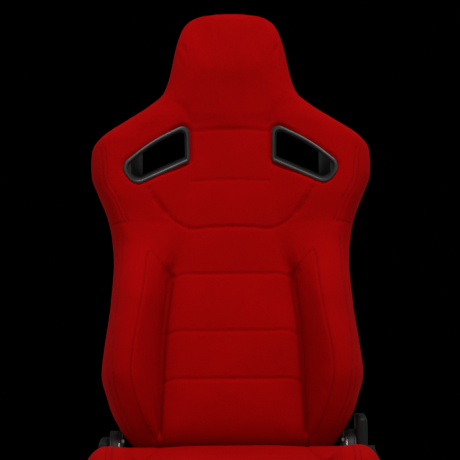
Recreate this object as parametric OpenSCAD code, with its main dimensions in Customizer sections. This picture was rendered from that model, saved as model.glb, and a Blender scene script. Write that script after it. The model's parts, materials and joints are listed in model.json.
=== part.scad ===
// Reclining sport seat on slide rails, with harness slots in the shoulders.
// The origin is the centre of the four floor bolts, on the underside of the rails.
// The seat faces -Y, +X is the occupant's left and +Z is up. All sizes are in millimetres.

/* [Backrest] */
// Length from the recline pivot to the top of the head
back_len = 848; // [700:1:1020]
// Half width across the shoulders
shoulder_half_w = 265; // [262:1:330]
// Height of the shoulder corner above the pivot
shoulder_v = 550; // [545:1:560]
// Recline from vertical at rest, in degrees
recline = 15; // [12:0.5:18]
// Depth of the centre of the padding in front of the pivot plane
pad_front = 62; // [56:1:66]
// Depth of the side bolsters in front of the pivot plane
bolster_front = 140; // [112:1:150]
// Back plane of the padding in front of the pivot plane
pad_back = 12; // [11:0.5:14]
// Depth of the hard back shell behind the padding
shell_depth = 46; // [42:1:60]
// Wall of the hard back shell
shell_wall = 3; // [2:0.5:4]

/* [Seat] */
// Height of the recline pivot above the floor bolts
pivot_z = 150; // [146:1:170]
// Distance of the recline pivot behind the centre of the floor bolts
pivot_y = 210; // [205:1:215]
// Half width of the seat over its thigh bolsters
seat_half_w = 254; // [250:1:300]
// Half width of the centre panel of the seat
seat_panel_half_w = 160; // [140:1:180]
// Distance of the front of the seat from the centre of the floor bolts
seat_front = 320; // [300:1:380]
// Height of the cushion at its back edge
cushion_rear_z = 176; // [160:1:180]
// Height of the cushion behind its front edge
cushion_front_z = 203; // [190:1:215]
// Height of the thigh bolsters
thigh_z = 241; // [215:1:260]

/* [Rails] */
// Distance of each rail from the centre line
rail_x = 185; // [182:1:188]
// Length of each rail
rail_len = 380; // [372:1:460]
// Distance between floor bolts along the rails
bolt_spacing = 320; // [266:1:330]
// Radius of the floor bolt holes
bolt_hole_r = 4.25; // [3.6:0.05:5.1]
// Width of the floor rail
rail_w = 44; // [42:1:46]
// Travel of the seat to each side of its middle place
slide_travel = 100; // [80:1:100]

/* [Recliner] */
// Radius of the round recliner housings
recliner_r = 46; // [44:1:48]
// Radius of the cross rod
rod_r = 5; // [4.2:0.1:6]
// Running clearance of the pivots
running_gap = 0.05; // [0.02:0.01:0.1]
// Length of the recline lever forward of its rod
lever_len = 150; // [125:1:180]
// Height of the outer cover above the pivot
cover_rise = 72; // [60:1:80]

/* [Harness slots] */
// Width of the slot frame around its opening
bezel_w = 10; // [8.5:0.5:12]
// Thickness of the slot frame
bezel_t = 5; // [4:0.5:6]
// Height of the slot frame above the fabric
bezel_proud = 2; // [1:0.5:2.5]
// Wall of the slot tunnel
tunnel_wall = 3; // [2.5:0.5:4]
// Turn of the shoulder wings towards the front, in degrees
wing_turn = 15; // [12:0.5:18]

/* [Frame] */
// Radius of the back frame tube
frame_r = 12.5; // [11:0.5:13]
// Wall of the back frame tube
frame_wall = 2; // [1.5:0.25:3]
// Distance of the frame's side tubes from the centre line
frame_x = 197; // [196:0.5:198]
// Radius of the suspension wires
wire_r = 1.8; // [1.5:0.1:2]
// Thickness of the side plates
plate_t = 4; // [3:0.5:4]

/* [Hidden] */

$fn = 48;
eps = 0.01;
soft_gap = 0.3;      // between padding and what it rests against
fabric_red = [0.60, 0.02, 0.03];
plastic_black = [0.07, 0.07, 0.07];
paint_black = [0.10, 0.10, 0.11];
zinc = [0.70, 0.71, 0.73];

// ---- helpers ----------------------------------------------------------------------------

// Both sides of the seat, from a shape made for the +X side
module pair() {
    children();
    mirror([1, 0, 0]) children();
}

// The +X side for s = 1, the -X side for s = -1
module side(s) {
    if (s > 0) children();
    else mirror([1, 0, 0]) children();
}

// A round bar along X from x0 to x1, centred at y and z
module bar_x(x0, x1, y, z, r) {
    translate([x0, y, z]) rotate([0, 90, 0]) cylinder(h = x1 - x0, r = r);
}

// A round bar between two points
module bar_between(a, b, r) {
    d = b - a;
    len = norm(d);
    translate(a) rotate([0, acos(d[2] / len), atan2(d[1], d[0])]) cylinder(h = len, r = r);
}

// Straight tubes joined by balls along a path
module bent_bar(path, r, ball) {
    for (i = [0 : len(path) - 2]) bar_between(path[i], path[i + 1], r);
    for (i = [1 : len(path) - 2]) translate(path[i]) sphere(r = r + ball);
}

// A 2D outline in Y and Z, extruded along X from x0 to x1
module yz_plate(x0, x1) {
    translate([x0, 0, 0]) rotate([90, 0, 90]) linear_extrude(x1 - x0) children();
}

// A 2D outline in X and Z, extruded along Y from y0 to y1
module xz_bar(y0, y1) {
    translate([0, y1, 0]) rotate([90, 0, 0]) linear_extrude(y1 - y0) children();
}

function unit(v) = v / norm(v);
function cross2(a, b) = a[0] * b[1] - a[1] * b[0];

// Corner i of a counter-clockwise outline, moved in by d
function inset_corner(p, i, d) =
    let (n = len(p), a = unit(p[i] - p[(i + n - 1) % n]), b = unit(p[(i + 1) % n] - p[i]))
    p[i] + d * (b - a) / cross2(a, b);

function inset(p, d) = [for (i = [0 : len(p) - 1]) inset_corner(p, i, d)];

// Corner i rounded to radius r with an arc
function round_corner(p, i, r, steps) =
    let (
        n = len(p),
        a = unit(p[(i + n - 1) % n] - p[i]),
        b = unit(p[(i + 1) % n] - p[i]),
        half = acos(a * b) / 2,
        centre = p[i] + unit(a + b) * r / sin(half),
        from = p[i] + a * r / tan(half) - centre,
        to = p[i] + b * r / tan(half) - centre,
        start = atan2(from[1], from[0]),
        raw = atan2(to[1], to[0]) - start,
        turn = raw > 180 ? raw - 360 : raw < -180 ? raw + 360 : raw
    )
    [for (k = [0 : steps]) centre + r * [cos(start + turn * k / steps), sin(start + turn * k / steps)]];

function rounded(p, r, steps = 5) = [for (i = [0 : len(p) - 1]) each round_corner(p, i, r[i], steps)];

// A closed skin over equal rings of points, from the first ring to the last
module loft(rings) {
    n = len(rings[0]);
    m = len(rings);
    skin = [
        for (i = [0 : m - 2], j = [0 : n - 1])
            let (a = i * n + j, b = i * n + (j + 1) % n)
            each [[a, a + n, b], [b, a + n, b + n]]
    ];
    first = [for (j = [0 : n - 1]) j];
    last = [for (j = [n - 1 : -1 : 0]) (m - 1) * n + j];
    polyhedron(points = [for (r = rings) each r], faces = concat(skin, [first, last]), convexity = 12);
}

// ---- backrest frame ---------------------------------------------------------------------

// The backrest's own frame: origin at the pivot, v up the back, -Y to the front
module on_back() {
    translate([0, pivot_y, pivot_z]) rotate([-recline, 0, 0]) children();
}

// The pivot, with axes along the seat's own
module at_pivot() {
    translate([0, pivot_y, pivot_z]) children();
}

neck_v = shoulder_v + 140;
hip_v = 145;
waist_v = 360;

// Half width of the padding at height v
outline = [
    [0, 178], [20, 194], [40, 208], [60, 219], [100, 235], [hip_v, 244], [200, 237], [280, 227],
    [waist_v, 223], [410, 226], [450, 236], [shoulder_v - 55, shoulder_half_w - 11],
    [shoulder_v - 20, shoulder_half_w - 1], [shoulder_v, shoulder_half_w],
    [shoulder_v + 25, shoulder_half_w - 2], [shoulder_v + 50, shoulder_half_w - 19],
    [shoulder_v + 85, shoulder_half_w - 65], [shoulder_v + 118, 154], [neck_v, 131],
    [neck_v + 32, 120], [back_len - 66, 107], [back_len - 26, 94], [back_len - 9, 73], [back_len, 46]
];
function half_w(v) = lookup(v, outline);

// Height at which each section of the padding is drawn
sections = [
    4, 20, 34, 46, 60, 80, 100, 122, hip_v, 175, 205, 240, 280, 320, waist_v, 395, 430, 460,
    shoulder_v - 55, shoulder_v - 30, shoulder_v - 10, shoulder_v + 10, shoulder_v + 25,
    shoulder_v + 38, shoulder_v + 50, shoulder_v + 62, shoulder_v + 74, shoulder_v + 85,
    shoulder_v + 101, shoulder_v + 118, neck_v, neck_v + 32, back_len - 90, back_len - 66,
    back_len - 45, back_len - 26, back_len - 16, back_len - 9, back_len - 4, back_len
];

// Front of the centre panel: in at the foot, out at the lumbar, out again at the head
function center_y(v) = -lookup(v, [
    [0, pad_front - 7], [45, pad_front - 6], [90, pad_front], [200, pad_front + 8],
    [330, pad_front + 1], [430, pad_front], [shoulder_v + 65, pad_front],
    [neck_v, pad_front + 6], [neck_v + 70, pad_front + 16], [back_len - 30, pad_front + 12],
    [back_len, pad_front - 10]
]);

// Crease between the centre panel and the side bolster
function crease_x(v) = lookup(v, [
    [0, 137], [40, 137], [133, 132], [227, 127], [332, 112], [430, 90], [shoulder_v - 55, 75],
    [shoulder_v + 80, 75], [neck_v, 62], [back_len, 30]
]);
function crease_depth(v) = lookup(v, [[0, 4], [60, 10], [300, 9], [400, 2], [470, 0]]);

// Ridge of the side bolster, of the shoulder wing and of the side of the head
function ridge_x(v) = lookup(v, [
    [0, 150], [20, 152], [63, 168], [116, 184], [181, 186], [238, 178], [298, 172], [waist_v, 178],
    [430, 200], [shoulder_v - 55, 222], [shoulder_v + 40, 222], [shoulder_v + 62, 200],
    [shoulder_v + 85, 165], [shoulder_v + 118, 120], [neck_v, 100], [neck_v + 32, 92],
    [back_len - 66, 82], [back_len - 9, 52], [back_len, 34]
]);
wing_rise = tan(wing_turn);
function wing_y(x) = -pad_front - (x - 75) * wing_rise;
function ridge_y(v) = lookup(v, [
    [0, -pad_front + 4], [34, -pad_front + 4], [60, -bolster_front + 48],
    [100, -bolster_front + 22], [hip_v, -bolster_front + 4], [200, -bolster_front],
    [280, -bolster_front + 6], [waist_v, -bolster_front + 22], [430, wing_y(200)],
    [shoulder_v - 55, wing_y(222)], [shoulder_v + 40, wing_y(222)],
    [shoulder_v + 62, wing_y(200)], [shoulder_v + 85, wing_y(165)], [shoulder_v + 118, -pad_front - 8],
    [neck_v, center_y(neck_v) - 2], [neck_v + 32, center_y(neck_v + 32)],
    [back_len - 66, center_y(back_len - 66) + 2],
    [back_len - 9, center_y(back_len - 9) + 4], [back_len, center_y(back_len) + 4]
]);
head_back = pad_back + 12;
function back_y(v) = -lookup(v, [[neck_v - 50, pad_back], [neck_v + 30, head_back]]);

// Half of one section of the padding, from the middle of the front round to the back
function half_section(v) =
    let (
        w = half_w(v), c = center_y(v), cx = crease_x(v), rx = ridge_x(v), ry = ridge_y(v),
        b = back_y(v), roll = (b - ry) * 0.14, reach = w - rx
    )
    [
        [cx * 0.5, c - 1], [cx - 12, c], [cx, c + crease_depth(v)],
        [cx + (rx - cx) * 0.55, c + (ry - c) * 0.62], [rx, ry], [rx + reach * 0.3, ry + roll * 0.15],
        [rx + reach * 0.62, ry + roll], [w - reach * 0.12, ry + roll * 2.6], [w, b + (ry - b) * 0.36],
        [w - 5, b]
    ];

function mirrored(p) = [for (i = [len(p) - 1 : -1 : 0]) [-p[i][0], p[i][1]]];
function at_height(p, v) = [for (q = p) [q[0], q[1], v]];

crease_point = 2;    // place of the crease in half_section

// The whole section, the panel between the creases, and the bolster outside one crease
function section_ring(v) = let (h = half_section(v)) at_height(concat(mirrored(h), h), v);
function center_ring(v) =
    let (
        h = half_section(v),
        x = crease_x(v) - soft_gap,
        edge = concat([for (i = [0 : crease_point - 1]) h[i]], [[x, h[crease_point][1]], [x, back_y(v)]])
    )
    at_height(concat(mirrored(edge), edge), v);
function bolster_ring(v) =
    let (h = half_section(v))
    at_height(concat([for (i = [crease_point : len(h) - 1]) h[i]], [[crease_x(v), back_y(v)]]), v);

big = 600;          // half size of a cutting block
chest_v = 430;      // top of the lumbar panel
arm_room_r = recliner_r + 4;

// Room for the round recliners beside the foot of the padding
module recliner_room() {
    pair() bar_x(arm_x - 3, big, 0, 0, arm_room_r);
}

// ---- harness slots ----------------------------------------------------------------------

slot_face = 75;      // depth at which the slot outline is measured

// A point of the slot outline, moved to the seat's axes at the pivot
function slot_point(x, v) = [x, v * cos(recline) + slot_face * sin(recline)];
slot_outline = [
    slot_point(77, 550), slot_point(183, 503), slot_point(212, 544), slot_point(153, 593),
    slot_point(78, 629)
];
slot_radii = [7, 22, 21, 300, 14];

function slot_shape(d) =
    rounded(inset(slot_outline, d), [for (r = slot_radii) max(r - d * 0.5, 2)]);

// A prism with the slot's outline, inset by d, along the seat's own Y
module slot_prism(d) {
    rotate([recline, 0, 0]) xz_bar(-40, 300) polygon(slot_shape(d));
}

module slot_wall(outer, inner) {
    difference() {
        slot_prism(outer);
        slot_prism(inner);
    }
}

// A slab of the backrest along the turned face of the wing, from y0 to y1 behind the fabric
module wing_slab(y0, y1) {
    translate([75, -pad_front, shoulder_v]) rotate([0, 0, -wing_turn])
        translate([-300, y0, -200]) cube([big, y1 - y0, 400]);
}

bezel_back = bezel_t - bezel_proud;
tunnel_end = 20;
rear_bezel_end = shell_depth - pad_back + 4;
tunnel_out = bezel_w - tunnel_wall;
cheek_x = 190;       // front edge of the cheek, from the centre line
cheek_turn = 9;      // its slope towards the centre line, in degrees

module slot_cut() {
    pair() {
        slot_prism(tunnel_out - soft_gap);
        intersection() {
            slot_prism(-soft_gap);
            wing_slab(-80, bezel_back + soft_gap);
        }
    }
}

module front_bezel(s) {
    color(plastic_black) on_back() side(s) intersection() {
        slot_wall(0, bezel_w);
        wing_slab(-bezel_proud, bezel_back);
    }
}

module harness_tunnel(s) {
    color(plastic_black) on_back() side(s) difference() {
        union() {
            slot_wall(tunnel_out, bezel_w);
            // Sloping cheek at the low outer end, which narrows the tunnel behind the frame
            intersection() {
                slot_prism(tunnel_out + 1);
                translate([cheek_x, -pad_front - 34, 400]) rotate([0, 0, cheek_turn]) cube([100, 160, 300]);
            }
        }
        wing_slab(-300, bezel_back);
        translate([-big, tunnel_end, 0]) cube([2 * big, big, 2 * big]);
    }
}

module rear_bezel(s) {
    color(plastic_black) on_back() side(s) intersection() {
        slot_wall(0, bezel_w);
        translate([0, tunnel_end, 400]) cube([300, rear_bezel_end - tunnel_end, 400]);
    }
}

// ---- padding nodes ----------------------------------------------------------------------

module center_foam() {
    color(fabric_red) on_back() loft([for (v = sections) if (v <= chest_v) center_ring(v)]);
}

module back_bolster(s) {
    color(fabric_red) on_back() side(s) difference() {
        loft([for (v = sections) if (v <= chest_v) bolster_ring(v)]);
        recliner_room();
    }
}

module shoulder_foam() {
    color(fabric_red) on_back() difference() {
        loft([for (v = sections) if (v >= chest_v && v <= neck_v) section_ring(v)]);
        slot_cut();
    }
}

module head_pad() {
    color(fabric_red) on_back() loft([for (v = sections) if (v >= neck_v) section_ring(v)]);
}

// ---- back shell -------------------------------------------------------------------------

shell_foot = 72;
shell_edge = 3;      // the shell's edge lies this far inside the padding's

foot_slack = 11;     // least room behind the frame tube at the foot, with the wall
head_slack = 9;      // and at the head

function shell_reach(v) = lookup(v, [
    [shell_foot, max(shell_depth - 10, 2 * frame_r + foot_slack)], [150, shell_depth - 4],
    [300, shell_depth],
    [shoulder_v, shell_depth], [neck_v, shell_depth - 4],
    [back_len - 30, max(shell_depth - 12, 2 * frame_r + head_slack)],
    [back_len - 8, shell_depth - 26]
]);

function shell_ring(v, at_v, wall, lip) =
    let (w = half_w(v) - shell_edge - wall, f = back_y(v) + soft_gap - lip, d = shell_reach(v) - wall + lip)
    [for (q = [
        [-w, f], [-w, f + d * 0.45], [-w * 0.965, f + d * 0.72], [-w * 0.88, f + d * 0.9],
        [-w * 0.6, f + d], [0, f + d * 1.01], [w * 0.6, f + d], [w * 0.88, f + d * 0.9],
        [w * 0.965, f + d * 0.72], [w, f + d * 0.45], [w, f]
    ]) [-q[0], q[1], at_v]];

shell_sections = [for (v = sections) if (v > shell_foot && v < back_len - 8) v];

module rear_shell() {
    color(plastic_black) on_back() difference() {
        loft(concat(
            [shell_ring(shell_foot, shell_foot, 0, 0)],
            [for (v = shell_sections) shell_ring(v, v, 0, 0)]
        ));
        loft(concat(
            [shell_ring(shell_foot, shell_foot - 1, shell_wall, 9)],
            [for (v = shell_sections) if (v < back_len - 20) shell_ring(v, v - shell_wall, shell_wall, 9)]
        ));
        pair() slot_prism(-soft_gap);
    }
}

// ---- back frame -------------------------------------------------------------------------

frame_gap = 1.5;     // from the frame tube to the padding in front of it
head_gap = 3.5;      // from the hoop to the padding of the head
hoop_half_w = 78.5;  // outside of the hoop in the head, from the centre line
neck_half_w = 130.5; // outside of the frame at the foot of the neck
shoulder_edge = 23.5; // from the frame tube to the side of the shoulder
bend_bulge = 0.5;    // the tube is this much wider at its bends
frame_y = frame_r + frame_gap - pad_back;
head_y = frame_r + head_gap - head_back;
hoop_r = hoop_half_w - frame_r;
hoop_v = back_len - 113;
neck_foot = neck_v - 22;
neck_top = neck_v + 45;
shoulder_x = shoulder_half_w - shoulder_edge - frame_r;

// Centre line of the left half of the frame, with a straight run up a long head
frame_side = concat(
    [
        [frame_x, frame_y, 60], [frame_x, frame_y, 410], [shoulder_x, frame_y, shoulder_v - 50],
        [shoulder_x, frame_y, shoulder_v + 32], [neck_half_w - frame_r, frame_y, neck_foot]
    ],
    hoop_v > neck_top ? [[hoop_r, head_y, neck_top]] : [],
    [[hoop_r, head_y, hoop_v]]
);

module frame_run(r, ball) {
    pair() {
        bent_bar(frame_side, r, ball);
        translate(frame_side[len(frame_side) - 1]) sphere(r = r + ball);
    }
    translate([0, head_y, hoop_v]) rotate([90, 0, 0])
        rotate_extrude(angle = 180) translate([hoop_r, 0]) circle(r = r);
}

// One bent tube from the left recliner over the head to the right one, open at its lower ends
module back_frame() {
    bore = frame_r - frame_wall;
    color(paint_black) on_back() difference() {
        frame_run(frame_r, bend_bulge);
        frame_run(bore, bend_bulge);
        pair() translate([frame_x, frame_y, frame_side[0][2] - 1]) cylinder(h = 10, r = bore);
    }
}

cross_r = 10;
lower_tube_v = 84;
upper_tube_v = 385;

module back_tube(v) {
    color(paint_black) on_back() difference() {
        bar_x(-frame_x - 14, frame_x + 14, frame_y, v, cross_r);
        bar_x(-frame_x - 20, frame_x + 20, frame_y, v, cross_r - frame_wall);
        pair() bent_bar(frame_side, frame_r, bend_bulge);
        pair() translate([frame_x, -50, v - 50]) cube([100, 100, 100]);
    }
}

mat_wires = [140, 200, 260, 320];
mat_cord_x = 70;

module suspension_mat() {
    color(zinc) on_back() difference() {
        union() {
            for (v = mat_wires) bar_x(-frame_x, frame_x, frame_y, v, wire_r);
            pair() bar_between([mat_cord_x, frame_y, 120], [mat_cord_x, frame_y, 345], wire_r + 0.6);
        }
        pair() bar_between([frame_x, frame_y, 90], [frame_x, frame_y, 400], frame_r);
    }
}

// ---- recliner layers, measured from the centre line -------------------------------------

arm_x = 209;
ring_x = arm_x + plate_t;
ring_t = 7;
housing_x = ring_x + ring_t + 0.3;
bracket_x = 227;
cover_x = bracket_x + plate_t + soft_gap;
cover_t = 21;
lever_x = max(cover_x + cover_t + 2, seat_half_w + soft_gap);
ring_r = recliner_r - 3;
ring_wall = 7;
tooth_h = 1.6;
tooth_count = 60;
ring_plate_t = 2.5;
rod_hole_r = rod_r + 0.8;

// Ring with teeth inside, seen along X
module tooth_ring_shape() {
    tip = ring_r - ring_wall;
    difference() {
        circle(r = ring_r);
        polygon([
            for (i = [0 : tooth_count - 1], k = [0 : 1])
                let (a = (i + k * 0.5) * 360 / tooth_count, r = tip + k * tooth_h)
                r * [cos(a), sin(a)]
        ]);
    }
}

module recliner_ring(s) {
    color(zinc) side(s) on_back() {
        yz_plate(ring_x, ring_x + ring_plate_t) difference() {
            circle(r = ring_r);
            circle(r = rod_hole_r);
        }
        yz_plate(ring_x + ring_plate_t, ring_x + ring_t) tooth_ring_shape();
    }
}

pawl_w = 13;
pawl_tip_r = 12;
pawl_out_r = ring_r - ring_wall - soft_gap;
pawl_t = 4;
pawl_x = ring_x + ring_plate_t + 0.2;
pawl_travel = 3;

// Fixed side of the round recliner: cap, rim round the ring, and guides beside the pawls
module recliner_housing(s) {
    color(paint_black) side(s) at_pivot() {
        yz_plate(housing_x, bracket_x) difference() {
            circle(r = recliner_r);
            circle(r = rod_r + running_gap);
        }
        yz_plate(ring_x + 1, housing_x) difference() {
            circle(r = recliner_r);
            circle(r = ring_r + running_gap);
        }
        yz_plate(pawl_x, housing_x) difference() {
            circle(r = ring_r - ring_wall - 1);
            circle(r = pawl_tip_r + 2);
            square([pawl_w + 0.4, 2 * ring_r], center = true);
        }
    }
}

// Shoe that locks the ring; it slides straight in towards the cam
module pawl(s, up) {
    color(zinc) side(s) at_pivot() scale([1, 1, up]) yz_plate(pawl_x + 0.1, pawl_x + pawl_t) {
        intersection() {
            circle(r = pawl_out_r);
            translate([-pawl_w / 2, pawl_tip_r + 3]) square([pawl_w, ring_r]);
        }
        translate([-2, pawl_tip_r]) square([4, 4]);
    }
}

cam_r = pawl_tip_r - 0.5;
cam_low_r = 7;
cam_lead = 9;        // degrees of full height on the leading side of each lobe
lever_swing = 35;    // degrees

function cam_radius(a) = max(cam_low_r, cam_r - pawl_travel * max(0, a + cam_lead) / lever_swing);

// Two-lobed snail cams, one in each recliner, which let the pawls in as the rod turns
module cam_shape() {
    polygon([
        for (lobe = [0, 180], a = [-cam_lead : 6 : 165])
            cam_radius(a) * [-sin(lobe + a), cos(lobe + a)]
    ]);
}

module recliner_cams() {
    color(zinc) at_pivot() for (x = [pawl_x + 0.1, -pawl_x - pawl_t]) {
        yz_plate(x, x + pawl_t - 0.1) difference() {
            cam_shape();
            circle(r = rod_r);
        }
    }
}

rod_end_right = lever_x + 8;
rod_end_left = cover_x + 5;

module cross_rod() {
    color(zinc) at_pivot() bar_x(-rod_end_left, rod_end_right, 0, 0, rod_r);
}

module recliner_lever() {
    hub_r = 15;
    color(plastic_black) at_pivot() yz_plate(lever_x, lever_x + 13) difference() {
        union() {
            circle(r = hub_r);
            polygon(rounded([
                [-lever_len, 2], [-lever_len + 4, -16], [-lever_len + 80, -13], [2, -hub_r + 1],
                [2, hub_r - 2], [-lever_len + 70, 9]
            ], [7, 7, 30, 1, 1, 40]));
        }
        circle(r = rod_r);
    }
}

module lever_spring() {
    turns = 4;
    coil_r = 1.1;
    color(zinc) at_pivot() for (i = [0 : turns - 1])
        translate([cover_x + 5 + i * (2 * coil_r + 0.4), 0, 0]) rotate([0, 90, 0])
            rotate_extrude() translate([rod_r + coil_r + 0.4, 0]) circle(r = coil_r, $fn = 24);
}

// ---- side plates ------------------------------------------------------------------------

bracket_foot_z = 62;
bracket_bolt_y = [-35, 18];
bolt_row_z = bracket_foot_z - pivot_z + 22;
side_top = 125;
side_back = pivot_y + 30;
side_front = 250;
flange_z = 42;
member_foot = 18;    // width of the side member's foot inside the middle of the rail
member_x = bracket_x - plate_t;

module bracket_outline() {
    difference() {
        union() {
            circle(r = recliner_r);
            polygon([
                [-recliner_r + 1, 3], [-68, -58], [-68, bracket_foot_z - pivot_z],
                [28, bracket_foot_z - pivot_z], [28, -58], [recliner_r - 1, -3]
            ]);
        }
        circle(r = rod_r + 0.4);
    }
}

bolt_r = 4;
head_r = 7;
head_t = 5;

module recliner_bracket(s) {
    color(paint_black) side(s) at_pivot() difference() {
        yz_plate(bracket_x, bracket_x + plate_t) bracket_outline();
        for (b = bracket_bolt_y) bar_x(bracket_x - 1, cover_x, b, bolt_row_z, bolt_r);
    }
}

// A hexagon-headed bolt along +X, with its head outside
module side_bolt(x0, x1) {
    translate([x0, 0, 0]) rotate([0, 90, 0]) cylinder(h = x1 - x0, r = bolt_r);
    translate([x1, 0, 0]) rotate([0, 90, 0]) cylinder(h = head_t, r = head_r, $fn = 6);
}

module bracket_bolts() {
    color(zinc) pair() at_pivot() for (b = bracket_bolt_y)
        translate([0, b, bolt_row_z]) side_bolt(member_x - 6, bracket_x + plate_t);
}

module side_member(s) {
    color(paint_black) side(s) difference() {
        union() {
            translate([member_x, -side_front, flange_z])
                cube([plate_t, side_front + side_back, side_top - flange_z]);
            translate([rail_x - member_foot, -side_front, flange_z])
                cube([member_x - rail_x + member_foot + eps, side_front + side_back, plate_t]);
        }
        for (b = bracket_bolt_y) bar_x(member_x - 1, cover_x, pivot_y + b, pivot_z + bolt_row_z, bolt_r);
        for (y = rail_bolt_y) translate([rail_x, y, 0]) cylinder(h = 60, r = bolt_r);
        bar_x(member_x - 1, bracket_x, pivot_y, pivot_z, recliner_r + 1);
    }
}

cover_wall = 2.5;

low_cover_rise = 30; // height of the cover on the side without the lever

function cover_height(s) = s > 0 ? cover_rise : low_cover_rise;
function cover_shape(rise) = [[-44, -52], [42, -52], [36, rise], [-30, rise]];

module cover_outline(d, rise) {
    polygon(rounded(inset(cover_shape(rise), d), [for (i = [0 : 3]) 9 - d]));
}

// Moulded cover over the recliner bracket, open on its inner side
module recliner_cover(s) {
    rise = cover_height(s);
    color(plastic_black) side(s) at_pivot() difference() {
        yz_plate(cover_x, cover_x + cover_t) cover_outline(0, rise);
        yz_plate(cover_x - 1, cover_x + cover_t - cover_wall) cover_outline(cover_wall, rise);
        bar_x(cover_x, lever_x, 0, 0, rod_hole_r);
    }
}

// Round-headed screws on the front of each cover
module cover_screws() {
    screw_r = 4;
    screw_z = 13;
    for (s = [-1, 1]) {
        face = cover_shape(cover_height(s));
        up = (screw_z - face[0][1]) / (face[3][1] - face[0][1]);
        front_y = face[0][0] + (face[3][0] - face[0][0]) * up;
        color(zinc) side(s) at_pivot() difference() {
            translate([cover_x + cover_t / 2 - 3, front_y + 3, screw_z]) rotate([90, 0, 0])
                cylinder(h = 6.5, r = screw_r);
            yz_plate(cover_x - 1, cover_x + cover_t + 1) polygon(face);
        }
    }
}

// ---- backrest arms ----------------------------------------------------------------------

arm_top = 230;
arm_bolt_v = [120, 200];

module back_arm(s) {
    color(paint_black) side(s) on_back() difference() {
        yz_plate(arm_x, arm_x + plate_t) difference() {
            union() {
                circle(r = ring_r);
                polygon([[-11, 8], [ring_r - 2, 8], [8, 62], [8, arm_top], [-11, arm_top]]);
            }
            circle(r = rod_hole_r);
            for (v = arm_bolt_v) translate([frame_y, v]) circle(r = bolt_r);
            for (a = ring_bolt_angles) rotate(a) translate([ring_bolt_r, 0]) circle(r = ring_bolt_shank);
        }
        bar_between([frame_x, frame_y, 0], [frame_x, frame_y, 400], frame_r);
    }
}

ring_bolt_r = 30;
ring_bolt_angles = [35, 125, 245];
ring_bolt_shank = 3;

// Bolts from the arms into the frame tubes, and from the rings into the arms
module arm_bolts() {
    color(zinc) pair() on_back() {
        for (v = arm_bolt_v) translate([0, frame_y, v]) {
            intersection() {
                bar_x(arm_x, arm_x + plate_t, 0, 0, bolt_r);
                difference() {
                    translate([0, -20, -20]) cube([300, 40, 40]);
                    bar_between([frame_x, 0, -20], [frame_x, 0, 20], frame_r);
                }
            }
            translate([arm_x + plate_t, 0, 0]) rotate([0, 90, 0]) cylinder(h = 1.2, r = 6);
        }
        for (a = ring_bolt_angles)
            rotate([a, 0, 0]) translate([0, ring_bolt_r, 0]) {
                bar_x(arm_x, ring_x, 0, 0, ring_bolt_shank);
                translate([arm_x - 4, 0, 0]) rotate([0, 90, 0]) cylinder(h = 4, r = 5.5, $fn = 6);
            }
    }
}

// ---- rails ------------------------------------------------------------------------------

rail_t = 3;
rail_h = 24;
lip = 8;
rail_top = flange_z;
rail_bolt_y = [-150, 120];

module floor_rail_shape() {
    h = rail_w / 2;
    polygon([
        [-h, 0], [h, 0], [h, rail_h], [h - rail_t - lip, rail_h], [h - rail_t - lip, rail_h - rail_t],
        [h - rail_t, rail_h - rail_t], [h - rail_t, rail_t], [-h + rail_t, rail_t],
        [-h + rail_t, rail_h - rail_t], [-h + rail_t + lip, rail_h - rail_t],
        [-h + rail_t + lip, rail_h], [-h, rail_h]
    ]);
}

window_pitch = 20;
window = [6, 8];     // length and height of each lock window

module floor_rail(s) {
    color(paint_black) side(s) difference() {
        translate([rail_x, 0, 0]) xz_bar(-rail_len / 2, rail_len / 2) floor_rail_shape();
        for (y = [-1, 1])
            translate([rail_x, y * bolt_spacing / 2, -1]) cylinder(h = rail_t + 2, r = bolt_hole_r);
        for (i = [-6 : 6])
            translate([rail_x - rail_w / 2 - 1, i * window_pitch - window[0] / 2, 9])
                cube([rail_t + 2, window[0], window[1]]);
    }
}

slide_flange = 15;   // half width of the slide rail's flanges
slide_flange_z = 9;
slide_web = 3;

module slide_rail_shape() {
    polygon([
        [-slide_flange, slide_flange_z], [slide_flange, slide_flange_z],
        [slide_flange, slide_flange_z + rail_t], [slide_web, slide_flange_z + rail_t],
        [slide_web, rail_top - rail_t], [slide_flange, rail_top - rail_t], [slide_flange, rail_top],
        [-slide_flange, rail_top], [-slide_flange, rail_top - rail_t],
        [-slide_web, rail_top - rail_t], [-slide_web, slide_flange_z + rail_t],
        [-slide_flange, slide_flange_z + rail_t]
    ]);
}

module slide_rail(s) {
    color(zinc) side(s) difference() {
        translate([rail_x, 0, 0]) xz_bar(-rail_len / 2, rail_len / 2) slide_rail_shape();
        for (y = rail_bolt_y) translate([rail_x, y, 20]) cylinder(h = 60, r = bolt_r);
        translate([rail_x - slide_flange + 4, 0, 30]) cylinder(h = 20, r = lock_pin_r);
    }
}

glide_len = 30;
glide_in = 9;        // keeps clear of the floor bolts' heads
glide_gap = 0.15;

function glide_y() = rail_len / 2 - slide_travel - glide_len / 2 - 3;

module rail_glides() {
    w = rail_w / 2 - rail_t - glide_gap - glide_in;
    h = rail_h - 2 * rail_t - 2 * glide_gap;
    color("white") pair() translate([rail_x, 0, 0]) for (y = [-1, 1], m = [0, 1])
        translate([0, y * glide_y(), 0]) mirror([m, 0, 0])
            xz_bar(-glide_len / 2, glide_len / 2) difference() {
                translate([glide_in, rail_t + glide_gap]) square([w, h]);
                translate([0, slide_flange_z]) square([slide_flange, rail_t]);
            }
}

module rail_end_stops() {
    stop_t = 2.7;
    color(paint_black) pair() translate([rail_x, 0, 0]) for (y = [-1, 1], m = [0, 1])
        mirror([m, 0, 0]) translate([glide_in, y * (rail_len - stop_t) / 2 - stop_t / 2, rail_t])
            cube([rail_w / 2 - rail_t - glide_in, stop_t, 5]);
}

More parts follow.
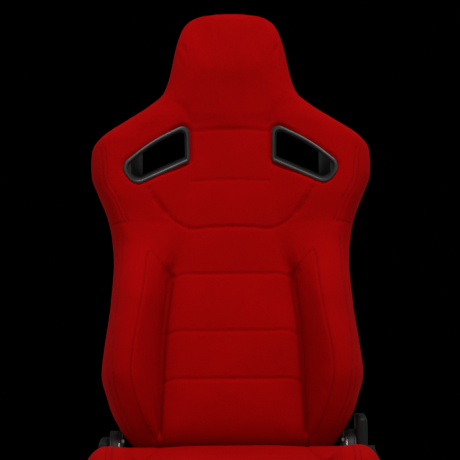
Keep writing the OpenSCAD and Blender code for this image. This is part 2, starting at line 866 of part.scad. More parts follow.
module rail_bolts() {
    color(zinc) pair() for (y = rail_bolt_y) translate([rail_x, y, 0]) {
        translate([0, 0, 34]) cylinder(h = flange_z + plate_t - 34, r = bolt_r);
        translate([0, 0, flange_z + plate_t]) cylinder(h = head_t, r = head_r, $fn = 6);
    }
}

// ---- seat base --------------------------------------------------------------------------

base_tube_r = 12.5;
front_tube = [-230, 90];
pan_z = front_tube[1] + base_tube_r;
pan_t = 2;
pan_back = -60;
spring_z = pan_z - wire_r;
rear_tube = [pivot_y - 60, spring_z - wire_r - base_tube_r];

module base_tube(at) {
    color(paint_black) difference() {
        bar_x(-member_x, member_x, at[0], at[1], base_tube_r);
        bar_x(-member_x - 1, member_x + 1, at[0], at[1], base_tube_r - frame_wall);
    }
}

module seat_pan() {
    color(paint_black) yz_plate(-member_x, member_x) polygon([
        [-seat_front + 32, pan_z - 22], [-seat_front + 30, pan_z - 22], [-seat_front + 30, pan_z + pan_t],
        [pan_back, pan_z + pan_t], [pan_back, pan_z], [-seat_front + 32, pan_z]
    ]);
}

// One zigzag wire between the pan and the rear tube
module zigzag(x) {
    bend = 11.5;
    run = 34;
    count = 9;
    y0 = pan_back - 4;
    for (i = [0 : count]) bar_x(x - run / 2, x + run / 2, y0 + i * 2 * bend, spring_z, wire_r);
    for (i = [0 : count - 1])
        translate([x + (i % 2 == 0 ? 1 : -1) * run / 2, y0 + (2 * i + 1) * bend, spring_z])
            rotate([0, 0, i % 2 == 0 ? -90 : 90])
                rotate_extrude(angle = 180) translate([bend, 0]) circle(r = wire_r, $fn = 24);
}

module seat_springs() {
    color(zinc) for (x = [-120, -40, 40, 120]) zigzag(x);
}

// ---- seat cushion -----------------------------------------------------------------------

backrest_sweep = 65; // the foot of the backrest turns inside this radius
cushion_back = pivot_y - backrest_sweep;
cushion_floor = pan_z + pan_t + 0.5;
nose_floor = 74;

module cushion_center() {
    w = seat_panel_half_w;
    f = -seat_front;
    color(fabric_red) yz_plate(-w, w) polygon(rounded([
        [cushion_back, cushion_floor], [cushion_back, cushion_rear_z], [-60, cushion_rear_z + 10],
        [f + 95, cushion_front_z], [f + 8, cushion_front_z - 18], [f, cushion_front_z - 70],
        [f + 4, nose_floor], [f + 28, nose_floor], [f + 29.5, cushion_floor]
    ], [1, 6, 200, 60, 32, 60, 8, 1, 1]));
}

// Height of the thigh bolster's ridge along the seat
function thigh_ridge(y) = lookup(y, [
    [-seat_front, thigh_z - 62], [-seat_front + 8, thigh_z - 34], [-seat_front + 24, thigh_z - 16],
    [-seat_front + 50, thigh_z - 4], [-seat_front + 85, thigh_z - 1], [-150, thigh_z - 13],
    [-110, thigh_z - 26], [-70, thigh_z - 38], [0, thigh_z - 52], [50, thigh_z - 57],
    [90, cushion_rear_z + 4],
    [cushion_back, cushion_rear_z - 1]
]);
function thigh_foot(y) = lookup(y, [[-seat_front, nose_floor + 8], [-seat_front + 30, nose_floor - 6]]);
function cushion_top(y) = lookup(y, [
    [-seat_front, cushion_front_z - 50], [-seat_front + 8, cushion_front_z - 30],
    [-seat_front + 50, cushion_front_z - 5], [-seat_front + 95, cushion_front_z - 2],
    [-60, cushion_rear_z + 9], [cushion_back, cushion_rear_z - 2]
]);

thigh_inner = seat_panel_half_w + soft_gap;
skirt_x = bracket_x + plate_t + 1;

// Half section of a thigh bolster across the seat, with a skirt outside the side member
function thigh_ring(y) =
    let (r = thigh_ridge(y), c = cushion_top(y), z0 = thigh_foot(y), w = seat_half_w, rise = r - c)
    [for (q = [
        [thigh_inner, max(cushion_floor, z0)], [thigh_inner, c - 6], [thigh_inner + 6, c],
        [thigh_inner + 22, c + rise * 0.72], [thigh_inner + 36, c + rise * 0.96],
        [thigh_inner + 48, r], [w - 26, r - 4], [w - 11, r - 14 - rise * 0.1], [w - 2, r - 34 - rise * 0.1],
        [w, (r + z0) / 2 - 14], [w - 3, z0], [skirt_x, z0], [skirt_x, cushion_floor + 22],
        [member_x - 1, cushion_floor + 22.5], [member_x - 1, cushion_floor]
    ]) [q[0], y, q[1]]];

thigh_sections = [
    cushion_back, 90, 50, 0, -35, -70, -110, -150, -seat_front + 85, -seat_front + 50,
    -seat_front + 24, -seat_front + 8, -seat_front
];

module thigh_bolster(s) {
    color(fabric_red) side(s) difference() {
        loft([for (y = thigh_sections) thigh_ring(y)]);
        translate([0, -seat_front + 28, -eps]) cube([skirt_x, big, cushion_floor]);
    }
}

// ---- slide release ----------------------------------------------------------------------

bar_r = 5;
bar_inset = 13;      // from the floor rail to the middle of the bar's arm
bar_side_x = rail_x - rail_w / 2 - bar_inset;
bar_z = 30;
bar_front = -seat_front + 4;
bar_bend = 25;
bar_pivot_y = -120;
bar_end_y = -31;
pin_r = 3;
boss_r = 8;
hanger_t = 2;
hanger_x = rail_x - rail_w / 2 - hanger_t - 1;
hanger_half = 12;    // half width of a hanger
hanger_drop = 9;     // how far a hanger reaches below its pin

module release_bar() {
    color(paint_black) difference() {
        union() {
            bar_x(-bar_side_x + bar_bend, bar_side_x - bar_bend, bar_front, bar_z, bar_r);
            pair() {
                bar_between(
                    [bar_side_x, bar_front + bar_bend, bar_z], [bar_side_x, bar_end_y, bar_z], bar_r
                );
                translate([bar_side_x - bar_bend, bar_front + bar_bend, bar_z]) rotate([0, 0, -90])
                    rotate_extrude(angle = 90) translate([bar_bend, 0]) circle(r = bar_r);
                bar_x(bar_side_x - bar_r, bar_side_x + bar_r, bar_pivot_y, bar_z, boss_r);
            }
        }
        pair() bar_x(bar_side_x - 20, bar_side_x + 20, bar_pivot_y, bar_z, pin_r + running_gap);
    }
}

module bar_hangers() {
    color(paint_black) pair() difference() {
        union() {
            translate([hanger_x, bar_pivot_y - hanger_half, bar_z - hanger_drop])
                cube([hanger_t, 2 * hanger_half, rail_top - rail_t - bar_z + hanger_drop]);
            translate([hanger_x, bar_pivot_y - hanger_half, rail_top - rail_t - hanger_t])
                cube([rail_x - slide_flange + 6 - hanger_x, 2 * hanger_half, hanger_t]);
        }
        bar_x(hanger_x - 1, hanger_x + 4, bar_pivot_y, bar_z, pin_r);
    }
}

module bar_pins() {
    color(zinc) pair() {
        bar_x(bar_side_x - bar_r - 1, hanger_x + hanger_t, bar_pivot_y, bar_z, pin_r);
        bar_x(bar_side_x - bar_r - 3, bar_side_x - bar_r - 1, bar_pivot_y, bar_z, pin_r + 2);
    }
}

module bar_springs() {
    turns = 3;
    coil_r = 0.7;
    color(zinc) pair() for (i = [0 : turns - 1])
        translate([bar_side_x + bar_r + 1 + i * 1.5, bar_pivot_y, bar_z]) rotate([0, 90, 0])
            rotate_extrude() translate([pin_r + coil_r + 0.3, 0]) circle(r = coil_r, $fn = 24);
}

lock_pin_r = 3;
lock_x = rail_x - rail_w / 2 - soft_gap;
lock_t = 3;
lock_half = 28;
lock_top = rail_top - rail_t - 0.2;
lock_pull = 5;       // millimetres from locked to free

// Lock plate beside the floor rail, held just clear of the rail's windows
module rail_lock(s) {
    pin_x = rail_x - slide_flange + 4;
    color(zinc) side(s) difference() {
        union() {
            translate([lock_x - lock_t, -lock_half, 10]) cube([lock_t, 2 * lock_half, lock_top - 10]);
            translate([lock_x - lock_t, -14, lock_top - 2.5]) cube([pin_x + 7 - lock_x + lock_t, 28, 2.5]);
        }
        translate([pin_x, 0, 0]) cylinder(h = 50, r = lock_pin_r + 0.1);
        translate([pin_x, -lock_pin_r - 0.1, 0]) cube([lock_pull + 1, 2 * lock_pin_r + 0.2, 50]);
        translate([pin_x + lock_pull + 1, 0, 0]) cylinder(h = 50, r = lock_pin_r + 0.1);
    }
}

module lock_pins() {
    color(zinc) pair() translate([rail_x - slide_flange + 4, 0, 0]) {
        translate([0, 0, lock_top - 3]) cylinder(h = rail_top - lock_top + 3, r = lock_pin_r);
        translate([0, 0, lock_top - 4.5]) cylinder(h = 1.5, r = lock_pin_r + 2);
    }
}

// ---- nodes ------------------------------------------------------------------------------

floor_rail(1);  // floor_rail_left
floor_rail(-1);  // floor_rail_right
rail_end_stops();
slide_rail(1);  // slide_rail_left
slide_rail(-1);  // slide_rail_right
rail_glides();
side_member(1);  // side_member_left
side_member(-1);  // side_member_right
rail_bolts();
base_tube(front_tube);  // front_cross_tube
base_tube(rear_tube);  // rear_cross_tube
seat_pan();
seat_springs();
cushion_center();
thigh_bolster(1);  // thigh_bolster_left
thigh_bolster(-1);  // thigh_bolster_right
recliner_bracket(1);  // recliner_bracket_left
recliner_bracket(-1);  // recliner_bracket_right
bracket_bolts();
recliner_housing(1);  // recliner_housing_left
recliner_housing(-1);  // recliner_housing_right
recliner_cover(1);  // recliner_cover_left
recliner_cover(-1);  // recliner_cover_right
cover_screws();
lever_spring();
bar_hangers();
bar_pins();
bar_springs();
lock_pins();
back_arm(1);  // back_arm_left
back_arm(-1);  // back_arm_right
recliner_ring(1);  // recliner_ring_left
recliner_ring(-1);  // recliner_ring_right
arm_bolts();
back_frame();
back_tube(lower_tube_v);  // lower_back_tube
back_tube(upper_tube_v);  // upper_back_tube
suspension_mat();
center_foam();
back_bolster(1);  // back_bolster_left
back_bolster(-1);  // back_bolster_right
shoulder_foam();
head_pad();
rear_shell();
front_bezel(1);  // front_bezel_left
front_bezel(-1);  // front_bezel_right
harness_tunnel(1);  // harness_tunnel_left
harness_tunnel(-1);  // harness_tunnel_right
rear_bezel(1);  // rear_bezel_left
rear_bezel(-1);  // rear_bezel_right
cross_rod();
recliner_cams();
recliner_lever();
pawl(1, 1);  // pawl_upper_left
pawl(1, -1);  // pawl_lower_left
pawl(-1, 1);  // pawl_upper_right
pawl(-1, -1);  // pawl_lower_right
release_bar();
rail_lock(1);  // rail_lock_left
rail_lock(-1);  // rail_lock_right
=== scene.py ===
"""The looks of a reclining sport seat in red fabric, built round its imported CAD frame.

Shapes of the backrest are worked out in millimetres in the backrest's own axes: x across, y back, v up
the back from the recline pivot. Shapes of the seat are worked out in millimetres in the row frame, which is
the frame of the whole object. Both end in metres.
"""

import json
import math

import bmesh
import bpy
import numpy as np
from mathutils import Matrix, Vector
from mathutils.bvhtree import BVHTree
from mathutils.kdtree import KDTree


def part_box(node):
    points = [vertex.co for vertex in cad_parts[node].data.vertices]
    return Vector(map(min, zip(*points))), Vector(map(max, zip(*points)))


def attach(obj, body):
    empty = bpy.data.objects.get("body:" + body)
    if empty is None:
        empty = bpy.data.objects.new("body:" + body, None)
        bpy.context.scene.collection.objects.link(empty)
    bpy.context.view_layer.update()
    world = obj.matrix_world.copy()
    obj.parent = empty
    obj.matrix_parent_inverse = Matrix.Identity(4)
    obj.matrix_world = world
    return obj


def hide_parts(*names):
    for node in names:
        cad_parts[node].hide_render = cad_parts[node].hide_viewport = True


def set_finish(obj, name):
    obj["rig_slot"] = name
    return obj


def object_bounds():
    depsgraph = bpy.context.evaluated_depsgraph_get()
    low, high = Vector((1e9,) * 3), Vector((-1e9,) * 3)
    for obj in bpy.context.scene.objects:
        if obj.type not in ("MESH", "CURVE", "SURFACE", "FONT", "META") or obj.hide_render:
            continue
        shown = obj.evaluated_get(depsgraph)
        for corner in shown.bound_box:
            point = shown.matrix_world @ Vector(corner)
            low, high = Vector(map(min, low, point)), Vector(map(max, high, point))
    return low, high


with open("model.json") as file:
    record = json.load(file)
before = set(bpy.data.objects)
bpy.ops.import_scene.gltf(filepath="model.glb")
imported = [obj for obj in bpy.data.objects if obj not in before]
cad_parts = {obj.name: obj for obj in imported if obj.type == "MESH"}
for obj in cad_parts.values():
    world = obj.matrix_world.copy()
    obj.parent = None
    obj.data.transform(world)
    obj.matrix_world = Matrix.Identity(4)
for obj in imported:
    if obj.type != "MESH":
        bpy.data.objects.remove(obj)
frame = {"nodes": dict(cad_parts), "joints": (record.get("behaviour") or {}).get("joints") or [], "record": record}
CAD_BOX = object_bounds()
SCENE = bpy.context.scene
MM = 0.001

JOINTS = {j["name"]: j for j in frame["joints"]}
PIVOT_Y, PIVOT_Z = [1000 * JOINTS["backrest_recline"]["pos_m"][i] for i in (1, 2)]
RECLINE = math.radians(15)
SIN, COS = math.sin(RECLINE), math.cos(RECLINE)

# ---- backrest sizes, as in the CAD source ------------------------------------------------

BACK_LEN = 848
HEAD_ROLL = 822  # where the top of the head starts to roll over
PAD_FRONT = 62
WING_TURN = math.radians(15)
WING_RISE = math.tan(WING_TURN)
WING_START = 75
SLOT_FACE = 75

# Each table is a list of (v, value). An _X table says how far out a line lies, a _FRONT table how far it
# stands in front of the pivot's plane, and CREASE_IN how deep the crease is
HALF_WIDTH = [
    (0, 174), (17, 190), (36, 205), (55, 216), (75, 226), (100, 234), (145, 245), (200, 239), (280, 228),
    (360, 223), (410, 227), (450, 236), (495, 254), (530, 266), (555, 267), (578, 265), (600, 250),
    (635, 203), (668, 156), (690, 130), (722, 117), (782, 104), (822, 90), (834, 79), (842, 63), (848, 34),
]
CENTRE_FRONT = [
    (0, 18), (8, 33), (18, 44), (32, 52), (52, 58), (90, 62), (200, 70), (330, 64), (430, 62), (615, 62),
    (690, 68), (760, 78), (818, 74), (834, 66), (848, 50),
]
CREASE_X = [
    (0, 137), (40, 137), (133, 132), (227, 127), (332, 112), (362, 96), (400, 84), (495, 75), (630, 75),
    (690, 62), (848, 30),
]
CREASE_IN = [(0, 4), (60, 11), (290, 9), (340, 3), (375, 0), (848, 0)]
RIDGE_X = [
    (0, 136), (19, 140), (63, 167), (116, 183), (143, 187), (181, 184), (238, 174), (298, 166), (374, 168),
    (430, 196), (495, 220), (590, 222), (612, 200), (635, 165), (668, 120), (690, 100), (722, 92),
    (782, 82), (834, 56), (842, 44), (848, 25),
]
RIDGE_FRONT = [
    (0, 24), (8, 36), (18, 46), (34, 57), (60, 88), (100, 117), (145, 135), (200, 140), (280, 133),
    (320, 121), (360, 103), (400, 91), (430, 89), (495, 99), (590, 101), (612, 95), (635, 86), (668, 71),
    (690, 70), (722, 73), (782, 76), (839, 62), (848, 48),
]
BACK_FRONT = [(0, 12), (640, 12), (720, 24), (848, 24)]

# Seams, each a line of (x, v) points on the half of the front where x is positive
CHANNELS = [615, 517, 335, 225, 135]
CHEST_FOOT = 400  # channels above it are on the chest, and the others on the lumbar part
CHEST_SEAM = [(0, 426), (40, 425), (77, 423), (105, 436), (134, 466), (146, 484), (155, 498)]
CHEST_DIMPLE = [(124, 452), (134, 466), (142, 478)]
LUMBAR_CREASE = [(140, 8), (138, 39), (133, 133), (127, 227), (112, 332)]
LEAF_SEAM = [
    (141, 14), (167, 63), (183, 116), (187, 143), (184, 181), (173, 238), (164, 298), (150, 374), (130, 352),
    (112, 332),
]
SIDE_SEAM_HIGH = [(242, 574), (239, 549), (235, 510), (214, 472), (197, 431)]
SIDE_SEAM_CROSS = [(197, 431), (212, 431), (228, 431)]
SIDE_SEAM_LOW = [(210, 404), (211, 356), (218, 279), (227, 183), (226, 146), (215, 90), (203, 62), (188, 34)]
TWIN = 4.5  # from the middle of a topstitched seam to each of its two rows

# Each style of seam: the width and depth of its valley in millimetres, and how much painted shade it lays into the
# fabric's colour in the valley
SEAM_STYLES = {
    "chest_channel": (7, 1.6, 0.35),
    "lumbar_channel": (7, 2.2, 0.35),
    "chest_edge": (7.5, 3.2, 0.5),
    "dimple": (10, 4.2, 0.9),
    "lumbar_crease": (9, 5.2, 0.7),
    "leaf": (4.5, 1.6, 0.9),
    "topstitch": (4, 0.9, 0.9),
    "cross": (4, 1.0, 0.8),
    "seat_channel": (7, 2.2, 0.35),
    "nose_channel": (6, 2.0, 0.35),
    "thigh_crease": (9, 5, 0.7),
    "rear_crease": (5, 1.4, 0.4),
    "thigh_topstitch": (4, 0.9, 0.8),
}

# Cloth simulation of the covers
SEAM_HELD = 4 * MM  # this near to a seam the cover is held down
AIR_PRESSURE = 5.0
MOST_SWELL = 4.5 * MM
CLOTH_FRAMES = 20

# ---- small helpers -----------------------------------------------------------------------


def cubic(t, gap, ends, tangents):
    """The smooth cubic from one end to the other, at the shares t of the gap between them."""
    return (
        (2 * t**3 - 3 * t**2 + 1) * ends[0]
        + (t**3 - 2 * t**2 + t) * gap * tangents[0]
        + (3 * t**2 - 2 * t**3) * ends[1]
        + (t**3 - t**2) * gap * tangents[1]
    )


def smooth(table, at):
    """The value at each place of a smooth curve through the table's points, which never overshoots them."""
    place, value = np.array(table, float).T
    gap = np.diff(place)
    slope = np.diff(value) / gap
    tangent = np.zeros(len(place))
    tangent[0], tangent[-1] = slope[0], slope[-1]
    rising = slope[:-1] * slope[1:] > 0
    tangent[1:-1][rising] = 2 / (1 / slope[:-1][rising] + 1 / slope[1:][rising])
    at = np.clip(np.asarray(at, float), place[0], place[-1])
    i = np.clip(np.searchsorted(place, at, "right") - 1, 0, len(place) - 2)
    t = (at - place[i]) / gap[i]
    return cubic(t, gap[i], (value[i], value[i + 1]), (tangent[i], tangent[i + 1]))


def spline(points, counts):
    """A smooth line through the points, with counts[k] steps between point k and the next."""
    p = np.array(points, float)
    gap = np.maximum(np.linalg.norm(np.diff(p, axis=0), axis=1), 0.01)
    slope = np.diff(p, axis=0) / gap[:, None]
    tangent = np.empty_like(p)
    tangent[0], tangent[-1] = slope[0], slope[-1]
    share = (gap[:-1] / (gap[:-1] + gap[1:]))[:, None]
    tangent[1:-1] = (1 - share) * slope[:-1] + share * slope[1:]
    line = []
    for k, count in enumerate(counts):
        t = (np.arange(count) / count)[:, None]
        line.append(cubic(t, gap[k], p[k : k + 2], tangent[k : k + 2]))
    line.append(p[-1:])
    return np.concatenate(line)


def back_to_row(points):
    """Points in the backrest's axes, in millimetres, as points of the row frame in metres."""
    p = np.asarray(points, float)
    y = PIVOT_Y + p[..., 1] * COS + p[..., 2] * SIN
    z = PIVOT_Z - p[..., 1] * SIN + p[..., 2] * COS
    return MM * np.stack([p[..., 0], y, z], axis=-1)


def row_to_back(points):
    """Points of the row frame in metres as points in the backrest's axes, in millimetres."""
    p = np.asarray(points, float) / MM
    y, z = p[..., 1] - PIVOT_Y, p[..., 2] - PIVOT_Z
    return np.stack([p[..., 0], y * COS - z * SIN, y * SIN + z * COS], axis=-1)


def resampled(line, step):
    """A polyline with points step apart along it."""
    p = np.array(line, float)
    run = np.concatenate([[0], np.cumsum(np.linalg.norm(np.diff(p, axis=0), axis=1))])
    at = np.linspace(0, run[-1], max(2, int(round(run[-1] / step)) + 1))
    return np.stack([np.interp(at, run, p[:, k]) for k in range(p.shape[1])], axis=1)


def rounded_line(line, step):
    """A smooth line through the points, resampled step apart."""
    return resampled(spline(line, [12] * (len(line) - 1)), step)


def new_object(name, mesh):
    obj = bpy.data.objects.new(name, mesh)
    SCENE.collection.objects.link(obj)
    return obj


def new_mesh(name, vertices, faces):
    """A smooth-shaded mesh."""
    mesh = bpy.data.meshes.new(name)
    mesh.from_pydata([tuple(v) for v in vertices], [], faces)
    mesh.shade_smooth()
    return mesh


def coordinates(mesh):
    co = np.empty(len(mesh.vertices) * 3)
    mesh.vertices.foreach_get("co", co)
    return co.reshape(-1, 3)


def set_coordinates(mesh, co):
    mesh.vertices.foreach_set("co", np.asarray(co, np.float32).ravel())
    mesh.update()


def normals(mesh):
    n = np.empty(len(mesh.vertices) * 3, np.float32)
    mesh.vertex_normals.foreach_get("vector", n)
    return n.reshape(-1, 3).astype(float)


def cap(ring, inner, shares, rise):
    """Smaller copies of an end ring that close it with a low dome, rise high, away from the inner ring."""
    middle = ring.mean(0)
    outward = middle - inner.mean(0)
    return [
        middle + (ring - middle) * s + outward / np.linalg.norm(outward) * rise * (1 - s * s) for s in shares
    ]


def outward_normals(mesh):
    """Turns every face of a closed mesh outwards."""
    bm = bmesh.new()
    bm.from_mesh(mesh)
    bmesh.ops.recalc_face_normals(bm, faces=bm.faces)
    bm.to_mesh(mesh)
    bm.free()


def loft(name, rings, caps, cap_rise=(0, 0)):
    """A closed skin over rings of points in metres, capped at both ends.

    Its UVs are in metres along and around it. caps are the sizes of the caps' rings, and cap_rise is how far
    the middle of the first and of the last cap stands beyond its ring.
    """
    low = cap(rings[0], rings[1], caps, cap_rise[0])
    high = cap(rings[-1], rings[-2], caps, cap_rise[1])
    stack = np.array(low[::-1] + list(rings) + high)
    rows, cols = stack.shape[:2]
    around = np.concatenate([stack, stack[:, :1]], axis=1)
    u = np.cumsum(np.linalg.norm(np.diff(around, axis=1), axis=2), axis=1)
    u = np.concatenate([np.zeros((rows, 1)), u], axis=1)
    u -= u[:, -1:] / 2
    step = np.linalg.norm(np.diff(stack[:, :1].mean(1), axis=0), axis=1)
    w = np.concatenate([[0], np.cumsum(step)])
    vertices = list(stack.reshape(-1, 3)) + [stack[0].mean(0), stack[-1].mean(0)]
    faces, uvs = [], []
    for i in range(rows - 1):
        for j in range(cols):
            k = (j + 1) % cols
            faces.append((i * cols + j, i * cols + k, (i + 1) * cols + k, (i + 1) * cols + j))
            uvs += [(u[i, j], w[i]), (u[i, j + 1], w[i])]
            uvs += [(u[i + 1, j + 1], w[i + 1]), (u[i + 1, j], w[i + 1])]
    bottom, top = rows * cols, rows * cols + 1
    for j in range(cols):
        k = (j + 1) % cols
        faces.append((bottom, k, j))
        uvs += [(0, w[0]), (u[0, j + 1], w[0]), (u[0, j], w[0])]
        faces.append((top, (rows - 1) * cols + j, (rows - 1) * cols + k))
        uvs += [(0, w[-1]), (u[-1, j], w[-1]), (u[-1, j + 1], w[-1])]
    mesh = new_mesh(name, vertices, faces)
    layer = mesh.uv_layers.new(name="UVMap")
    layer.data.foreach_set("uv", np.array(uvs, np.float32).ravel())
    outward_normals(mesh)
    return new_object(name, mesh)


def apply_modifiers(obj):
    """Bakes the object's modifiers into its mesh."""
    graph = bpy.context.evaluated_depsgraph_get()
    shaped = obj.evaluated_get(graph)
    mesh = bpy.data.meshes.new_from_object(shaped, preserve_all_data_layers=True, depsgraph=graph)
    obj.modifiers.clear()
    obj.data = mesh


def subdivide(obj):
    """Splits each face of the mesh once and smooths it."""
    modifier = obj.modifiers.new("subdivide", "SUBSURF")
    modifier.levels = modifier.render_levels = 1
    apply_modifiers(obj)


def cut(obj, tool):
    """Cuts obj with the closed mesh tool, which is then removed."""
    modifier = obj.modifiers.new("cut", "BOOLEAN")
    modifier.object = tool
    modifier.operation = "DIFFERENCE"
    modifier.solver = "EXACT"
    apply_modifiers(obj)
    bpy.data.objects.remove(tool)


def inflate(obj, held):
    """Blows a closed cover up between its held vertices with a short cloth simulation."""
    before = coordinates(obj.data)
    group = obj.vertex_groups.new(name="held")
    group.add([int(i) for i in np.nonzero(held)[0]], 1.0, "REPLACE")
    modifier = obj.modifiers.new("cloth", "CLOTH")
    cloth = modifier.settings
    cloth.quality = 5
    cloth.mass = 0.3
    cloth.tension_stiffness = cloth.compression_stiffness = 12
    cloth.shear_stiffness = 6
    cloth.bending_stiffness = 0.6
    cloth.use_pressure = True
    cloth.uniform_pressure_force = AIR_PRESSURE
    cloth.effector_weights.gravity = 0
    cloth.vertex_group_mass = group.name
    modifier.collision_settings.use_collision = False
    for number in range(1, CLOTH_FRAMES + 1):
        SCENE.frame_set(number)
    graph = bpy.context.evaluated_depsgraph_get()
    after = coordinates(obj.evaluated_get(graph).data)
    obj.modifiers.clear()
    SCENE.frame_set(1)
    move = after - before
    length = np.linalg.norm(move, axis=1, keepdims=True)
    move *= np.minimum(1, MOST_SWELL / np.maximum(length, 1e-9))
    set_coordinates(obj.data, before + move)
    obj.vertex_groups.clear()


def point_tree(points):
    """A search tree over the points."""
    tree = KDTree(len(points))
    for i, p in enumerate(points):
        tree.insert(p, i)
    tree.balance()
    return tree


def distance_to(points, co):
    """The distance from each of co to the nearest of points."""
    tree = point_tree(points)
    return np.array([tree.find(c)[2] for c in co])


def near_seams(seams, co):
    """Whether each of co is so near a seam that the cover is held down there."""
    return distance_to(np.concatenate([line for line, *_ in seams]), co) < SEAM_HELD


def groove(obj, line, width, depth, shade=1.0):
    """Presses a sewn seam into the surface along a dense line of points, as a valley with round shoulders.

    It also stores painted shade for the valley in the mesh's "seam" attribute, which darkens the fabric's colour
    there.
    """
    mesh = obj.data
    co = coordinates(mesh)
    reach = width * 1.2
    low, high = line.min(0) - reach, line.max(0) + reach
    near = np.nonzero(np.all((co > low) & (co < high), axis=1))[0]
    d = distance_to(line, co[near])
    valley = np.exp(-np.abs(d / (width * 0.42)) ** 1.5)
    co[near] -= normals(mesh)[near] * (depth * valley)[:, None]
    set_coordinates(mesh, co)
    seam = mesh.attributes.get("seam") or mesh.attributes.new("seam", "FLOAT", "POINT")
    marks = np.zeros(len(co), np.float32)
    seam.data.foreach_get("value", marks)
    # painted shade: the fabric's colour is darkened along the middle of each seam's valley, standing in for the
    # shade that falls there
    dark = np.exp(-((d / (width * 0.22)) ** 2)) * shade
    marks[near] = np.maximum(marks[near], dark)
    seam.data.foreach_set("value", marks)


def both_sides(line):
    """The line, and the same line on the other side of the seat."""
    return [line, line * np.array([-1, 1, 1])]


def sewn(style, line):
    """A seam of one style on both sides of the seat, each as (line, width, depth, shade)."""
    width, depth, shade = SEAM_STYLES[style]
    return [(side, width * MM, depth * MM, shade) for side in both_sides(line)]


# ---- backrest cover ----------------------------------------------------------------------

SECTION_STEPS = [9, 7, 3, 9, 9, 4, 4, 5, 5, 3, 4, 12]
WIDEST = 9  # the section's point that lies furthest out, counted from the middle of the front
FIRST_ROW = 3
ROW_PITCH = 5.0
TOP_ROWS = 12
BACK_CAPS = (0.94, 0.8, 0.55, 0.25)
HEAD_DOME = 1.5 * MM

# Where the cover is held down, besides its seams: near the back face, the sides, the foot and the top of the
# head, and in a field round each slot
HELD_BACK = 14
HELD_SIDE = 8
HELD_FOOT = 12
HELD_TOP = 835
HELD_SLOT_X = (70, 215)
HELD_SLOT_V = (495, 632)

# The cover is drawn in under the flange of a slot frame, this deep and fading this fast outside the slot
TUCK_DEPTH = 5.5 * MM
TUCK_FADE = 3.8 * MM
TUCK_X = (60, 230)
TUCK_V = (480, 650)
TUCK_FRONT = -45

SLOT_CUT = 6.7  # the cover's hole is this much smaller than the slot all round
SLOT_TOOL_Y = (-40, 300)


def section_features(v):
    """The points that shape half of one section of the backrest, from the middle of its front to its back."""
    width, centre = smooth(HALF_WIDTH, v), -smooth(CENTRE_FRONT, v)
    crease, crease_in = smooth(CREASE_X, v), smooth(CREASE_IN, v)
    ridge, ridge_y = smooth(RIDGE_X, v), -smooth(RIDGE_FRONT, v)
    back = -smooth(BACK_FRONT, v)
    roll = (back - ridge_y) * 0.14
    reach = width - ridge
    return [
        (0 * v, centre - 2),
        (crease * 0.5, centre - 1.5),
        (crease - 11, centre + crease_in * 0.25),
        (crease, centre + crease_in),
        (crease + (ridge - crease) * 0.42, centre + (ridge_y - centre) * 0.52),
        (ridge, ridge_y),
        (ridge + reach * 0.3, ridge_y + roll * 0.1),
        (ridge + reach * 0.62, ridge_y + roll * 0.9),
        (width - reach * 0.1, ridge_y + roll * 2.6),
        (width, back + (ridge_y - back) * 0.4),
        (width - 1, back + 0.12 * (ridge_y - back)),
        (width - 6, back),
        (0 * v, back),
    ]


def backrest_ring(v):
    """One closed ring of the backrest cover at height v, in the backrest's axes."""
    *front_steps, back_steps = SECTION_STEPS
    half = spline(section_features(v)[:-1], front_steps)
    back_x = np.linspace(half[-1, 0], 0, back_steps + 1)[1:]
    half = np.concatenate([half, np.stack([back_x, np.full(len(back_x), half[-1, 1])], axis=1)])
    ring = np.concatenate([half, half[-2:0:-1] * np.array([-1, 1])])
    return np.concatenate([ring, np.full((len(ring), 1), v)], axis=1)


def backrest_rows():
    """Heights of the rings: even up the back, closer together where the top of the head rolls over."""
    even = np.arange(FIRST_ROW, HEAD_ROLL, ROW_PITCH)
    over = HEAD_ROLL + (BACK_LEN - HEAD_ROLL) * np.sin(np.linspace(0, math.pi / 2, TOP_ROWS + 1)[1:])
    return np.concatenate([even, over])


def front_at(x, v):
    """The depth y of the backrest's front at each place (x, v), before it is sewn."""
    depth = []
    for place, height in zip(np.abs(x), v):
        half = spline(section_features(float(height))[: WIDEST + 1], SECTION_STEPS[:WIDEST])
        front = half[: int(np.argmax(half[:, 0])) + 1]
        depth.append(np.interp(place, front[:, 0], front[:, 1]))
    return np.array(depth)


def on_front(line, step=2.0):
    """A seam given as (x, v) points, laid on the front of the backrest and resampled, in the row frame."""
    x, v = rounded_line(line, step).T
    return resampled(back_to_row(np.column_stack([x, front_at(x, v), v])), step * MM)


def channel_half(v):
    """Half of a sewn channel across the centre of the backrest, turning down at its end."""
    short, drop = (1, 7) if v < CHEST_FOOT else (3, 2)
    reach = float(smooth(CREASE_X, v)) - short
    return [(0, v), (reach * 0.55, v - 0.5), (reach - 14, v - 1.5), (reach, v - drop)]


def slot_corner(x, v):
    """A corner of the slot at (x, v) on the front, as the row's X and Z about the pivot."""
    return np.array([x, v * COS + SLOT_FACE * SIN])


SLOT_CORNERS = [slot_corner(*p) for p in [(77, 550), (183, 503), (212, 544), (153, 593), (78, 629)]]
SLOT_RADII = [7, 22, 21, 300, 14]
LEAST_RADIUS = 2


